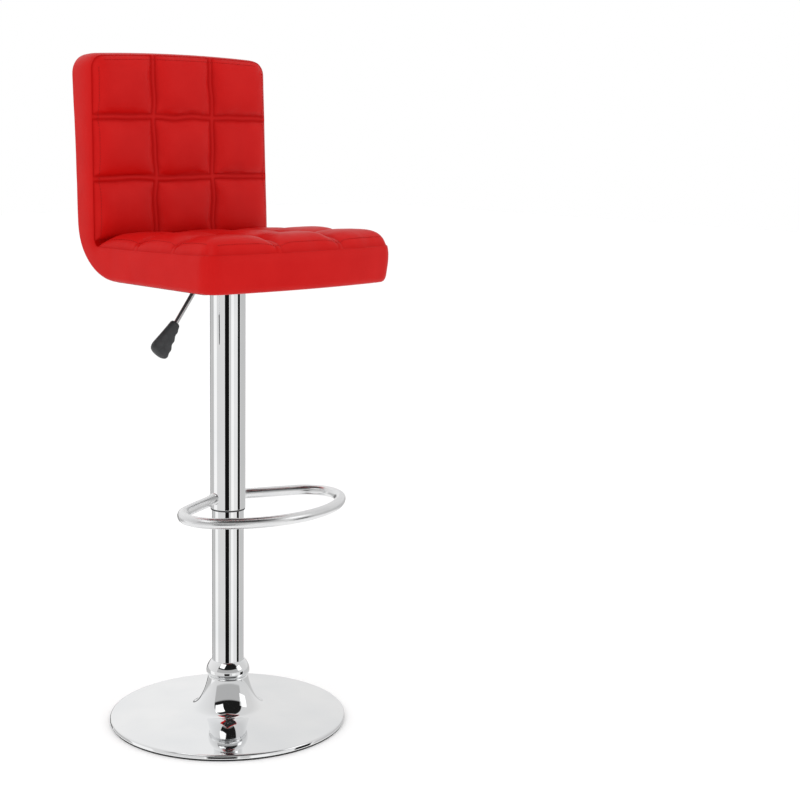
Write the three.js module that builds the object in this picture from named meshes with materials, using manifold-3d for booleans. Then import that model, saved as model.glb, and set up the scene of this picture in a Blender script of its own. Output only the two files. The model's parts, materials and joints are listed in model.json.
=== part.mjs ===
// Adjustable swivel stool: gas-lift bar stool with a quilted L-shaped seat.
// Millimetres, +Z up, origin on the floor at the swivel axis, the sitter faces -Y.

import * as THREE from 'three';
import { mergeVertices } from 'three/addons/utils/BufferGeometryUtils.js';
import Module from 'manifold-3d';

const wasm = await Module();
wasm.setup();

// ---- Driving dimensions ----

const GAP = 0.3; // clearance between neighbouring pieces

const BASE_RADIUS = 195;
const BASE_SHEET = 2; // thickness of the stamped trumpet
const RUBBER_HEIGHT = 3.2;
const RIM_TOP_Z = 10.5;
const NECK_TOP_Z = 76.5;
const NECK_RADIUS = 32.5;
const COLLAR_RADIUS = 35.6; // at its widest
const COLLAR_HEIGHT = 26;
const DOME_EDGE = 66; // radius where the low dome turns up into the neck
const DOME_EDGE_Z = 20.5;
const BALLAST_THICKNESS = 3.5;
const HUB_TOP_Z = 48;
const HUB_FLANGE_WIDTH = 30;

const COLUMN_RADIUS = 26;
const COLUMN_WALL = 2;
const COLUMN_FOOT_Z = 12;
const COLUMN_TOP_Z = 455;
const FOOT_PLATE_THICKNESS = 4;
const BUSH_LENGTH = 80; // white guide inside the top of the column

const SLEEVE_RADIUS = 28.5;
const SLEEVE_BORE = 27.2;
const SLEEVE_FOOT_Z = 362;
const SLEEVE_TOP_Z = 718.7;

const LIFT_TRAVEL = 210; // the seat stands at the top of this travel
const ROD_RADIUS = 5;
const SPINDLE_RADIUS = 4; // the rod's foot, below its shoulder
const TUBE_RADIUS = 14; // pressure tube of the gas spring
const TUBE_BORE = 12.6;
const TUBE_FOOT_Z = COLUMN_FOOT_Z + 23 + LIFT_TRAVEL; // clears the bump stop when lowered
const TUBE_TAPER_Z = 680;

const FOOTREST_Z = 380;
const FOOTREST_TUBE_RADIUS = 8.6;
const FOOTREST_HALF_WIDTH = 148;
const FOOTREST_REACH = 184;

const CHANNEL_HALF_LENGTH = 58;
const CHANNEL_HALF_WIDTH = 28;
const CHANNEL_SHEET = 1.8;
const PLATE_SIDE = 136;
const PLATE_THICKNESS = 2.5;
const BOLT_SPACING = 106;

const SEAT_UNDERSIDE_Z = 741;
const SEAT_HALF_WIDTH = 189; // at the front corners
const SEAT_FRONT_Y = -201; // middle of the bowed front edge
const SEAT_CORNER_Y = -184; // front edge at its corners
const SEAT_CORNER_RADIUS = 20;
const SEAT_CREST_Z = 812;
const BEND_RADIUS = 91; // outer bend from the underside into the back
const BEND_CENTRE_Y = 64;
const BEND_CENTRE_Z = SEAT_UNDERSIDE_Z + BEND_RADIUS;
const RECLINE = THREE.MathUtils.degToRad(4.6);
const JUNCTION_Y = 107; // where the seat top meets the back cushion
const BACK_FACE_Y = 101; // crests of the back cushion, at their foot
const BACK_FACE_LEAN = 6; // the face lies this much further back at the top
const BACK_CORNER_Z = 1086;
const BACK_TOP_Z = 1091;
const BACK_HALF_WIDTH = 180;
const BACK_TOP_HALF_WIDTH = 176;
const BACK_CORNER_RADIUS = 22;
const COVER_THICKNESS = 1.6;
const BOARD_THICKNESS = 12;
const BOARD_INSET = 11; // the cushions overhang the board's edges by this much
const BOARD_TOP_Z = 1066;

const LEVER_Z = 730;
const LEVER_ROD_RADIUS = 4;
const LEVER_PIVOT_X = -30;
const LEVER_BEND_X = -62;
const LEVER_DROOP = THREE.MathUtils.degToRad(52.2); // of the outer stretch, below horizontal
const GRIP_START = 70; // along the outer stretch, from the bend
const GRIP_LENGTH = 61;
const GRIP_TOP_WIDTH = 17;
const GRIP_END_WIDTH = 36;
const GRIP_THICKNESS = 13;

const BIG_SEGMENTS = 40;
const TUBE_SEGMENTS = 32;
const INNER_SEGMENTS = 20;
const SMALL_SEGMENTS = 14;

// ---- Materials ----

function material(colour, roughness, metalness) {
  return new THREE.MeshStandardMaterial({ color: colour, roughness, metalness });
}

const CHROME = material(0xe6e6e8, 0.06, 1);
const STEEL = material(0x8c8f92, 0.35, 1);
const BLACK_STEEL = material(0x1b1b1c, 0.5, 0.6);
const RUBBER = material(0x141414, 0.85, 0);
const BLACK_PLASTIC = material(0x2b2c2e, 0.5, 0);
const WHITE_PLASTIC = material(0xd9d9d2, 0.5, 0);
const RED_LEATHER = material(0xc41a1a, 0.42, 0);
const PLYWOOD = material(0xc79a62, 0.7, 0);
const NON_WOVEN = material(0x202022, 0.95, 0);

// ---- Shape helpers ----

const ALONG_X = new THREE.Matrix4().makeBasis(
  new THREE.Vector3(0, 1, 0),
  new THREE.Vector3(0, 0, 1),
  new THREE.Vector3(1, 0, 0),
); // a shape drawn in (y, z), pushed out along X
const ALONG_Y = new THREE.Matrix4().makeBasis(
  new THREE.Vector3(1, 0, 0),
  new THREE.Vector3(0, 0, 1),
  new THREE.Vector3(0, -1, 0),
); // a shape drawn in (x, z), pushed out along -Y

function toSolid(geometry) {
  const bare = geometry.clone();
  bare.deleteAttribute('normal');
  bare.deleteAttribute('uv');
  const merged = mergeVertices(bare, 1e-4);
  return new wasm.Manifold(
    new wasm.Mesh({
      numProp: 3,
      vertProperties: new Float32Array(merged.attributes.position.array),
      triVerts: new Uint32Array(merged.index.array),
    }),
  );
}

function toGeometry(solid) {
  const mesh = solid.getMesh();
  const geometry = new THREE.BufferGeometry();
  geometry.setAttribute('position', new THREE.BufferAttribute(mesh.vertProperties, 3));
  geometry.setIndex(new THREE.BufferAttribute(mesh.triVerts, 1));
  geometry.computeVertexNormals();
  return geometry;
}

// A solid of revolution about Z. The outline lists [radius, z], with the outer side going up.
function revolve(outline, segments) {
  const points = [...outline, outline[0]].map(([radius, z]) => new THREE.Vector2(radius, z));
  return new THREE.LatheGeometry(points, segments).rotateX(Math.PI / 2);
}

function ring(inner, outer, bottom, top, segments) {
  const outline = [[inner, bottom], [outer, bottom], [outer, top], [inner, top]];
  return revolve(outline, segments);
}

function cylinderAlongZ(radius, bottom, top, segments = SMALL_SEGMENTS) {
  return new THREE.CylinderGeometry(radius, radius, top - bottom, segments)
    .rotateX(Math.PI / 2)
    .translate(0, 0, (top + bottom) / 2);
}

function block(x, y, bottom, top) {
  return new THREE.BoxGeometry(x, y, top - bottom).translate(0, 0, (top + bottom) / 2);
}

function circle(radius, sides) {
  const points = [];
  for (let i = 0; i < sides; i += 1) {
    const angle = (2 * Math.PI * i) / sides;
    points.push(new THREE.Vector2(radius * Math.cos(angle), radius * Math.sin(angle)));
  }
  return new THREE.Shape(points);
}

function tubeAlong(path, radius, sides, steps) {
  return new THREE.ExtrudeGeometry(circle(radius, sides), { steps, extrudePath: path });
}

function extrude(shape, depth, curveSegments = 6) {
  return new THREE.ExtrudeGeometry(shape, { depth, bevelEnabled: false, curveSegments });
}

function part(name, geometry, finish) {
  const mesh = new THREE.Mesh(geometry, finish);
  mesh.name = name;
  return mesh;
}

function group(...members) {
  const result = new THREE.Group();
  result.add(...members.flat());
  return result;
}

// ---- Base ----

// The trumpet's surface: a low dome that sweeps up into a steep neck.
function trumpetLine(inset) {
  const line = [
    new THREE.Vector2(BASE_RADIUS - inset, RUBBER_HEIGHT + GAP),
    new THREE.Vector2(BASE_RADIUS - inset, RIM_TOP_Z - 3 - inset / 2),
    new THREE.Vector2(BASE_RADIUS - 2 - inset, RIM_TOP_Z - 0.8 - inset),
    new THREE.Vector2(BASE_RADIUS - 6 - inset / 2, RIM_TOP_Z - inset),
  ];
  const dome = new THREE.CubicBezierCurve(
    new THREE.Vector2(BASE_RADIUS - 6, RIM_TOP_Z - inset),
    new THREE.Vector2(BASE_RADIUS * 0.77, RIM_TOP_Z + 3 - inset),
    new THREE.Vector2(BASE_RADIUS * 0.49, DOME_EDGE_Z - 3.5 - inset),
    new THREE.Vector2(DOME_EDGE, DOME_EDGE_Z - inset),
  );
  const neck = new THREE.CubicBezierCurve(
    new THREE.Vector2(DOME_EDGE - inset * 0.3, DOME_EDGE_Z - inset),
    new THREE.Vector2(DOME_EDGE - 14 - inset * 0.5, DOME_EDGE_Z + 2.2 - inset),
    new THREE.Vector2(NECK_RADIUS + 5.5 - inset, DOME_EDGE_Z + 25.5 - inset * 0.5),
    new THREE.Vector2(NECK_RADIUS - inset, NECK_TOP_Z),
  );
  return [...line, ...dome.getPoints(3).slice(1), ...neck.getPoints(6).slice(1)];
}

function baseShell() {
  const outer = trumpetLine(0).map((p) => [p.x, p.y]);
  const inner = trumpetLine(BASE_SHEET).map((p) => [p.x, p.y]);
  return part('base_shell', revolve([...outer, ...inner.reverse()], BIG_SEGMENTS), CHROME);
}

function floorRing() {
  const outer = BASE_RADIUS - 1.5;
  const inner = outer - 22;
  const outline = [
    [inner, 0], [outer - 1, 0], [outer, 1], [outer, RUBBER_HEIGHT], [inner, RUBBER_HEIGHT],
  ];
  return part('floor_ring', revolve(outline, BIG_SEGMENTS), RUBBER);
}

function ballastPlate() {
  const bottom = RUBBER_HEIGHT + GAP;
  const top = bottom + BALLAST_THICKNESS;
  const clipHole = CLIP_RADIUS + 1;
  const plate = ring(clipHole, BASE_RADIUS - BASE_SHEET - 3, bottom, top, BIG_SEGMENTS);
  return part('ballast_plate', plate, BLACK_STEEL);
}

// The welded hub that the column's foot is pressed into.
function baseHub() {
  const flangeZ = RUBBER_HEIGHT + BALLAST_THICKNESS + 2 * GAP;
  const inner = COLUMN_RADIUS + GAP;
  const flange = inner + HUB_FLANGE_WIDTH;
  const outline = [
    [inner, flangeZ], [flange, flangeZ], [flange, flangeZ + 3],
    [inner + 6, flangeZ + 4.5], [inner + 4, HUB_TOP_Z], [inner, HUB_TOP_Z],
  ];
  return part('base_hub', revolve(outline, TUBE_SEGMENTS), STEEL);
}

// The bright bulging trim between the trumpet's neck and the column.
function collarRing() {
  const inner = COLUMN_RADIUS + GAP;
  const foot = NECK_TOP_Z + GAP;
  const top = foot + COLLAR_HEIGHT;
  const outline = [
    [inner, foot], [NECK_RADIUS - 0.5, foot], [COLLAR_RADIUS - 1.2, foot + 3.5],
    [COLLAR_RADIUS, foot + 8.6], [COLLAR_RADIUS - 1, foot + 14], [COLLAR_RADIUS - 3.6, foot + 20],
    [COLLAR_RADIUS - 6.8, foot + 24.6], [inner + 1, top], [inner, top],
  ];
  return part('collar_ring', revolve(outline, TUBE_SEGMENTS), CHROME);
}

// ---- Column and swivel bearing ----

function column() {
  const bore = COLUMN_RADIUS - COLUMN_WALL;
  const footTop = COLUMN_FOOT_Z + FOOT_PLATE_THICKNESS;
  const spindleHole = SPINDLE_RADIUS + 2 * GAP;
  const bushFoot = COLUMN_TOP_Z - BUSH_LENGTH;
  const bushBore = TUBE_RADIUS + GAP;
  const bushRim = COLUMN_RADIUS - 0.5;
  const bushOutline = [
    [bushBore, bushFoot], [bore - GAP, bushFoot], [bore - GAP, COLUMN_TOP_Z + GAP],
    [bushRim, COLUMN_TOP_Z + GAP], [bushRim, COLUMN_TOP_Z + 2], [bushBore, COLUMN_TOP_Z + 2],
  ];
  const tube = ring(bore, COLUMN_RADIUS, COLUMN_FOOT_Z, COLUMN_TOP_Z, TUBE_SEGMENTS);
  const footPlate = ring(spindleHole, bore - GAP, COLUMN_FOOT_Z, footTop, INNER_SEGMENTS);
  return [
    part('column_tube', tube, CHROME),
    part('column_foot_plate', footPlate, STEEL),
    part('guide_bush', revolve(bushOutline, INNER_SEGMENTS), WHITE_PLASTIC),
  ];
}

const BEARING_Z = COLUMN_FOOT_Z + FOOT_PLATE_THICKNESS + GAP;
const WASHER_THICKNESS = 1.3;
const WASHER_RADIUS = 12.5;
const BALL_CIRCLE = 8.6; // radius that the balls run on
const BALL_RADIUS = 1.5;
const BALL_COUNT = 7;
const CAGE_Z = BEARING_Z + WASHER_THICKNESS + GAP + BALL_RADIUS;
const UPPER_WASHER_Z = CAGE_Z + BALL_RADIUS + GAP;
const SHOULDER_Z = UPPER_WASHER_Z + WASHER_THICKNESS + GAP;

function bearingWasher(name, bottom) {
  const top = bottom + WASHER_THICKNESS;
  const washer = ring(SPINDLE_RADIUS + GAP, WASHER_RADIUS, bottom, top, SMALL_SEGMENTS);
  return part(name, washer, STEEL);
}

// A ring of balls in their cage, as one piece.
function ballCage() {
  const inner = BALL_CIRCLE - 3;
  const outer = BALL_CIRCLE + 3;
  let cage = toSolid(ring(inner, outer, CAGE_Z - 0.5, CAGE_Z + 0.5, SMALL_SEGMENTS));
  for (let i = 0; i < BALL_COUNT; i += 1) {
    const angle = (2 * Math.PI * i) / BALL_COUNT;
    const ball = new THREE.SphereGeometry(BALL_RADIUS, 6, 4);
    ball.translate(BALL_CIRCLE * Math.cos(angle), BALL_CIRCLE * Math.sin(angle), CAGE_Z);
    cage = cage.add(toSolid(ball));
  }
  return part('ball_cage', toGeometry(cage), STEEL);
}

// ---- Gas spring: rod and piston ----

const PISTON_Z = TUBE_FOOT_Z + 21;
const PISTON_HEIGHT = 14;
const GROOVE_FOOT_Z = PISTON_Z + 4; // the seal's groove round the piston
const GROOVE_TOP_Z = PISTON_Z + 9;
const BUMP_STOP_RADIUS = 11;
const BUMP_STOP_HEIGHT = 9;
const CLIP_RADIUS = 8;

function pistonRod() {
  const foot = COLUMN_FOOT_Z - 3.4;
  const top = PISTON_Z + PISTON_HEIGHT + 4;
  const outline = [
    [0, foot], [SPINDLE_RADIUS, foot], [SPINDLE_RADIUS, SHOULDER_Z], [ROD_RADIUS, SHOULDER_Z],
    [ROD_RADIUS, top], [0, top],
  ];
  return part('piston_rod', revolve(outline, SMALL_SEGMENTS), CHROME);
}

function pistonParts() {
  const stopFoot = SHOULDER_Z + GAP;
  const stopTop = stopFoot + BUMP_STOP_HEIGHT;
  const clipTop = COLUMN_FOOT_Z - GAP;
  const bore = ROD_RADIUS + GAP;
  const top = PISTON_Z + PISTON_HEIGHT;
  const wide = TUBE_BORE - 0.5;
  const groove = TUBE_BORE - 2;
  const pistonOutline = [
    [bore, PISTON_Z], [wide, PISTON_Z], [wide, GROOVE_FOOT_Z], [groove, GROOVE_FOOT_Z],
    [groove, GROOVE_TOP_Z], [wide, GROOVE_TOP_Z], [wide, top], [bore, top],
  ];
  const sealFoot = GROOVE_FOOT_Z + GAP;
  const sealTop = GROOVE_TOP_Z - GAP;
  const seal = ring(groove + GAP, TUBE_BORE - GAP, sealFoot, sealTop, INNER_SEGMENTS);
  const stop = ring(bore, BUMP_STOP_RADIUS, stopFoot, stopTop, SMALL_SEGMENTS);
  const clip = ring(SPINDLE_RADIUS + GAP, CLIP_RADIUS, clipTop - 1.5, clipTop, SMALL_SEGMENTS);
  return [
    part('piston_head', revolve(pistonOutline, INNER_SEGMENTS), STEEL),
    part('piston_seal', seal, RUBBER),
    part('bump_stop', stop, RUBBER),
    part('rod_retaining_clip', clip, STEEL),
  ];
}

// ---- Gas spring: pressure tube and release pin ----

const VALVE_Z = TUBE_TAPER_Z + 8;
const PIN_STEM_RADIUS = 2;
const PIN_TOP_Z = LEVER_Z - LEVER_ROD_RADIUS - GAP;
const TUBE_TOP_Z = SLEEVE_TOP_Z + 2;
const TUBE_TOP_RADIUS = TUBE_RADIUS - 0.8;

function pressureTube() {
  const topBore = TUBE_TOP_RADIUS - (TUBE_RADIUS - TUBE_BORE);
  const pinHole = PIN_STEM_RADIUS + 1;
  const lidFoot = TUBE_TOP_Z - 2;
  const outline = [
    [TUBE_BORE, TUBE_FOOT_Z], [TUBE_RADIUS, TUBE_FOOT_Z], [TUBE_RADIUS, TUBE_TAPER_Z],
    [TUBE_TOP_RADIUS, TUBE_TOP_Z], [pinHole, TUBE_TOP_Z], [pinHole, lidFoot],
    [topBore, lidFoot], [topBore, VALVE_Z], [TUBE_BORE, VALVE_Z - 2],
  ];
  return part('pressure_tube', revolve(outline, INNER_SEGMENTS), BLACK_STEEL);
}

function rodGuide() {
  const bottom = TUBE_FOOT_Z + 1;
  const outline = ring(ROD_RADIUS + GAP, TUBE_BORE - GAP, bottom, bottom + 16, INNER_SEGMENTS);
  return part('rod_guide', outline, BLACK_PLASTIC);
}

function valveBody() {
  const outer = TUBE_TOP_RADIUS - (TUBE_RADIUS - TUBE_BORE) - GAP;
  const outline = ring(PIN_STEM_RADIUS + GAP, outer, VALVE_Z + 1, TUBE_TOP_Z - 3, SMALL_SEGMENTS);
  return part('valve_body', outline, STEEL);
}

function releasePin() {
  const bottom = VALVE_Z + 6;
  const outline = [
    [0, bottom], [PIN_STEM_RADIUS, bottom], [PIN_STEM_RADIUS, PIN_TOP_Z - 0.5],
    [PIN_STEM_RADIUS - 0.8, PIN_TOP_Z], [0, PIN_TOP_Z],
  ];
  return part('release_pin', revolve(outline, SMALL_SEGMENTS), STEEL);
}

// ---- Sleeve and footrest ----

function sleeveParts() {
  const hubOuter = SLEEVE_BORE - GAP;
  const hubBore = TUBE_RADIUS + GAP;
  const hubOutline = [
    [hubBore, TUBE_TAPER_Z], [hubOuter, TUBE_TAPER_Z], [hubOuter, SLEEVE_TOP_Z],
    [TUBE_TOP_RADIUS + GAP + 0.1, SLEEVE_TOP_Z],
  ];
  const ringBore = COLUMN_RADIUS + 0.35;
  const ringRim = SLEEVE_RADIUS - 0.4;
  const ringFoot = SLEEVE_FOOT_Z - 2.6;
  const ringTop = SLEEVE_FOOT_Z + 14;
  const shoulder = SLEEVE_FOOT_Z - GAP;
  const ringOutline = [
    [ringBore, ringFoot], [ringRim, ringFoot], [ringRim, shoulder],
    [hubOuter, shoulder], [hubOuter, ringTop], [ringBore, ringTop],
  ];
  const sleeve = ring(SLEEVE_BORE, SLEEVE_RADIUS, SLEEVE_FOOT_Z, SLEEVE_TOP_Z, TUBE_SEGMENTS);
  return [
    part('sleeve_tube', sleeve, CHROME),
    part('sleeve_guide_ring', revolve(ringOutline, TUBE_SEGMENTS), BLACK_PLASTIC),
    part('taper_hub', revolve(hubOutline, INNER_SEGMENTS), STEEL),
  ];
}

// One tube bent into a loop: both ends are welded to the sleeve's sides.
function footrestRing() {
  const half = FOOTREST_HALF_WIDTH;
  const reach = FOOTREST_REACH;
  const side = [
    [half - 131, 4], [half - 91, -14], [half - 51, -31], [half - 18, -48], [half, -80],
    [half - 7, 68 - reach], [half - 40, 34 - reach], [half - 91, 10 - reach],
  ]; // [x, y] from the sleeve round to near the middle of the front
  const points = [
    ...side.map(([x, y]) => new THREE.Vector3(-x, y, FOOTREST_Z)),
    new THREE.Vector3(0, -reach, FOOTREST_Z),
    ...side.reverse().map(([x, y]) => new THREE.Vector3(x, y, FOOTREST_Z)),
  ];
  const path = new THREE.CatmullRomCurve3(points, false, 'centripetal');
  const loop = toSolid(tubeAlong(path, FOOTREST_TUBE_RADIUS, 10, 48));
  const bottom = FOOTREST_Z - 4 * FOOTREST_TUBE_RADIUS;
  const top = FOOTREST_Z + 4 * FOOTREST_TUBE_RADIUS;
  const sleeve = cylinderAlongZ(SLEEVE_RADIUS + GAP, bottom, top, TUBE_SEGMENTS);
  return part('footrest_ring', toGeometry(loop.subtract(toSolid(sleeve))), CHROME);
}

// ---- Seat mechanism ----

const PLATE_Z = SEAT_UNDERSIDE_Z - GAP - PLATE_THICKNESS;
const BOLT_RADIUS = 3;
const BOLT_WASHER_THICKNESS = 1.4;
const BOLT_HEAD_RADIUS = 5.8;
const BOLT_HEAD_HEIGHT = 4;
const TEE_BARREL_RADIUS = 4.3;
const TEE_FLANGE_RADIUS = 10;
const TEE_FLANGE_THICKNESS = 1.3;
const PIVOT_PIN_RADIUS = 3;

function boltPlaces() {
  const half = BOLT_SPACING / 2;
  return [
    ['front_left', half, -half], ['front_right', -half, -half],
    ['rear_left', half, half], ['rear_right', -half, half],
  ];
}

// A cylinder along Y, centred on the lever's pivot.
function crossCylinder(radius, halfLength) {
  return new THREE.CylinderGeometry(radius, radius, 2 * halfLength, SMALL_SEGMENTS)
    .translate(LEVER_PIVOT_X, 0, LEVER_Z);
}

// A folded channel under the plate: its floor takes the taper hub, its walls hold the lever.
function mechanismChannel() {
  const floor = SLEEVE_TOP_Z + GAP;
  const top = PLATE_Z - GAP;
  const length = 2 * CHANNEL_HALF_LENGTH;
  const width = 2 * CHANNEL_HALF_WIDTH;
  const inside = block(length + 2, width - 2 * CHANNEL_SHEET, floor + CHANNEL_SHEET, top + 1);
  const tubeHole = cylinderAlongZ(TUBE_TOP_RADIUS + 2 * GAP, floor - 1, floor + 4, TUBE_SEGMENTS);
  const solid = toSolid(block(length, width, floor, top))
    .subtract(toSolid(inside))
    .subtract(toSolid(tubeHole))
    .subtract(toSolid(crossCylinder(PIVOT_PIN_RADIUS + GAP, width)));
  return part('mechanism_channel', toGeometry(solid), BLACK_STEEL);
}

function roundedSquare(side, radius) {
  const half = side / 2;
  const near = half - radius;
  const shape = new THREE.Shape();
  shape.moveTo(near, -half);
  shape.absarc(near, -near, radius, -Math.PI / 2, 0, false);
  shape.absarc(near, near, radius, 0, Math.PI / 2, false);
  shape.absarc(-near, near, radius, Math.PI / 2, Math.PI, false);
  shape.absarc(-near, -near, radius, Math.PI, Math.PI * 1.5, false);
  return shape;
}

function mountingPlate() {
  const shape = roundedSquare(PLATE_SIDE, 14);
  for (const [, x, y] of boltPlaces()) {
    shape.holes.push(new THREE.Path().absarc(x, y, BOLT_RADIUS + GAP, 0, 2 * Math.PI, true));
  }
  const plate = extrude(shape, PLATE_THICKNESS, 5).translate(0, 0, PLATE_Z);
  return part('mounting_plate', plate, BLACK_STEEL);
}

function seatFasteners() {
  const washerZ = PLATE_Z - GAP - BOLT_WASHER_THICKNESS;
  const headTop = washerZ - GAP;
  const boardFoot = SEAT_UNDERSIDE_Z + COVER_THICKNESS + GAP;
  const boardTop = boardFoot + BOARD_THICKNESS;
  const nutBore = BOLT_RADIUS + GAP;
  const barrelFoot = boardFoot + 2;
  const flangeFoot = boardTop + GAP;
  const flangeTop = flangeFoot + TEE_FLANGE_THICKNESS;
  const nutOutline = [
    [nutBore, barrelFoot], [TEE_BARREL_RADIUS, barrelFoot], [TEE_BARREL_RADIUS, flangeFoot],
    [TEE_FLANGE_RADIUS, flangeFoot], [TEE_FLANGE_RADIUS, flangeTop], [nutBore, flangeTop],
  ];
  return boltPlaces().map(([place, x, y]) => {
    const head = cylinderAlongZ(BOLT_HEAD_RADIUS, headTop - BOLT_HEAD_HEIGHT, headTop, 6);
    const shank = cylinderAlongZ(BOLT_RADIUS, headTop - 1, boardTop, 10);
    const bolt = toGeometry(toSolid(head).add(toSolid(shank)));
    const washerTop = washerZ + BOLT_WASHER_THICKNESS;
    const washer = ring(nutBore, BOLT_HEAD_RADIUS + 3.2, washerZ, washerTop, SMALL_SEGMENTS);
    const pieces = group(
      part(`bolt_${place}`, bolt, STEEL),
      part(`washer_${place}`, washer, STEEL),
      part(`tee_nut_${place}`, revolve(nutOutline, 12), STEEL),
    );
    pieces.position.set(x, y, 0);
    return pieces;
  });
}

// ---- Lever ----

const ROD_IN_GRIP = 26;
const PIVOT_BOSS_RADIUS = 7;
const PIVOT_BOSS_HALF_LENGTH = 8;
const GRIP_WAVES = 3;
const GRIP_WAVE_DEPTH = 2.4;
const GRIP_CORNER = 10; // the rounded stretch at the grip's free end
const GRIP_BEVEL = 3;

function leverDirection() {
  return new THREE.Vector3(-Math.cos(LEVER_DROOP), 0, -Math.sin(LEVER_DROOP));
}

function leverRod() {
  const bend = new THREE.Vector3(LEVER_BEND_X, 0, LEVER_Z);
  const along = (distance) => bend.clone().addScaledVector(leverDirection(), distance);
  const start = new THREE.Vector3(LEVER_ROD_RADIUS + 1, 0, LEVER_Z);
  const bendReach = 10;
  const beforeBend = new THREE.Vector3(LEVER_BEND_X + bendReach, 0, LEVER_Z);
  const path = new THREE.CurvePath();
  path.add(new THREE.LineCurve3(start, beforeBend));
  path.add(new THREE.QuadraticBezierCurve3(beforeBend, bend, along(bendReach)));
  path.add(new THREE.LineCurve3(along(bendReach), along(GRIP_START + ROD_IN_GRIP)));
  const boss = crossCylinder(PIVOT_BOSS_RADIUS, PIVOT_BOSS_HALF_LENGTH);
  const hole = crossCylinder(PIVOT_PIN_RADIUS + GAP, PIVOT_BOSS_HALF_LENGTH + 4);
  const rod = toSolid(tubeAlong(path, LEVER_ROD_RADIUS, 8, 18));
  return part('lever_rod', toGeometry(rod.add(toSolid(boss)).subtract(toSolid(hole))), CHROME);
}

// A flat tapered paddle with finger waves on its inner edge and a bore for the rod.
function leverGrip() {
  const half = GRIP_TOP_WIDTH / 2;
  const endHalf = GRIP_END_WIDTH / 2;
  const cornerStart = GRIP_LENGTH - GRIP_CORNER;
  const shape = new THREE.Shape();
  shape.moveTo(half, 0);
  shape.lineTo(-half, 0);
  shape.quadraticCurveTo(-half - 4, GRIP_LENGTH / 2, -endHalf, cornerStart - 2);
  shape.quadraticCurveTo(-endHalf, GRIP_LENGTH, 0, GRIP_LENGTH);
  shape.quadraticCurveTo(endHalf, GRIP_LENGTH, endHalf, cornerStart);
  const firstWave = 6;
  const waveLength = (cornerStart - firstWave) / GRIP_WAVES;
  const slope = (endHalf - half) / cornerStart;
  for (let i = GRIP_WAVES; i > 0; i -= 1) {
    const hollow = firstWave + (i - 0.5) * waveLength;
    const end = firstWave + (i - 1) * waveLength;
    shape.quadraticCurveTo(half + hollow * slope - GRIP_WAVE_DEPTH, hollow, half + end * slope, end);
  }
  const paddle = new THREE.ExtrudeGeometry(shape, {
    depth: GRIP_THICKNESS - 2 * GRIP_BEVEL,
    bevelThickness: GRIP_BEVEL,
    bevelSize: GRIP_BEVEL,
    bevelOffset: -GRIP_BEVEL,
    bevelSegments: 2,
    curveSegments: 4,
  });
  paddle.translate(0, 0, GRIP_BEVEL - GRIP_THICKNESS / 2);
  const boreRadius = LEVER_ROD_RADIUS + GAP;
  const boreLength = 2 * (ROD_IN_GRIP + 4);
  const bore = new THREE.CylinderGeometry(boreRadius, boreRadius, boreLength, SMALL_SEGMENTS);
  const solid = toSolid(paddle).subtract(toSolid(bore));
  const mesh = part('lever_grip', toGeometry(solid), BLACK_PLASTIC);
  const length = leverDirection();
  const broad = new THREE.Vector3(0, 1, 0);
  const across = new THREE.Vector3().crossVectors(length, broad);
  mesh.applyMatrix4(new THREE.Matrix4().makeBasis(across, length, broad));
  mesh.position.set(LEVER_BEND_X, 0, LEVER_Z).addScaledVector(length, GRIP_START);
  return mesh;
}

function pivotParts() {
  const reach = CHANNEL_HALF_WIDTH + 4;
  const headFoot = CHANNEL_HALF_WIDTH + GAP;
  const shank = crossCylinder(PIVOT_PIN_RADIUS, reach);
  const head = crossCylinder(PIVOT_PIN_RADIUS + 2.5, 1).translate(0, headFoot + 1, 0);
  const pin = toGeometry(toSolid(shank).add(toSolid(head)));
  const clip = ring(PIVOT_PIN_RADIUS + GAP, 6, -0.6, 0.6, SMALL_SEGMENTS)
    .rotateX(Math.PI / 2)
    .translate(LEVER_PIVOT_X, -CHANNEL_HALF_WIDTH - GAP - 0.7, LEVER_Z);
  return [part('lever_pivot_pin', pin, STEEL), part('lever_pivot_clip', clip, STEEL)];
}

// ---- Seat ----

// Layers of the L-shaped shell lie between two depths below its outer surface (y, z).
function shellBand(outerDepth, innerDepth, frontY, topZ) {
  const shape = new THREE.Shape();
  const backEnd = (depth) => {
    const radius = BEND_RADIUS - depth;
    const startY = BEND_CENTRE_Y + radius * Math.cos(RECLINE);
    const startZ = BEND_CENTRE_Z - radius * Math.sin(RECLINE);
    return new THREE.Vector2(startY + (topZ - startZ) * Math.tan(RECLINE), topZ);
  };
  shape.moveTo(frontY, SEAT_UNDERSIDE_Z + outerDepth);
  shape.lineTo(BEND_CENTRE_Y, SEAT_UNDERSIDE_Z + outerDepth);
  const outer = BEND_RADIUS - outerDepth;
  shape.absarc(BEND_CENTRE_Y, BEND_CENTRE_Z, outer, -Math.PI / 2, -RECLINE, false);
  shape.lineTo(backEnd(outerDepth).x, topZ);
  shape.lineTo(backEnd(innerDepth).x, topZ);
  const inner = BEND_RADIUS - innerDepth;
  shape.absarc(BEND_CENTRE_Y, BEND_CENTRE_Z, inner, -RECLINE, -Math.PI / 2, true);
  shape.lineTo(frontY, SEAT_UNDERSIDE_Z + innerDepth);
  return shape;
}

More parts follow.
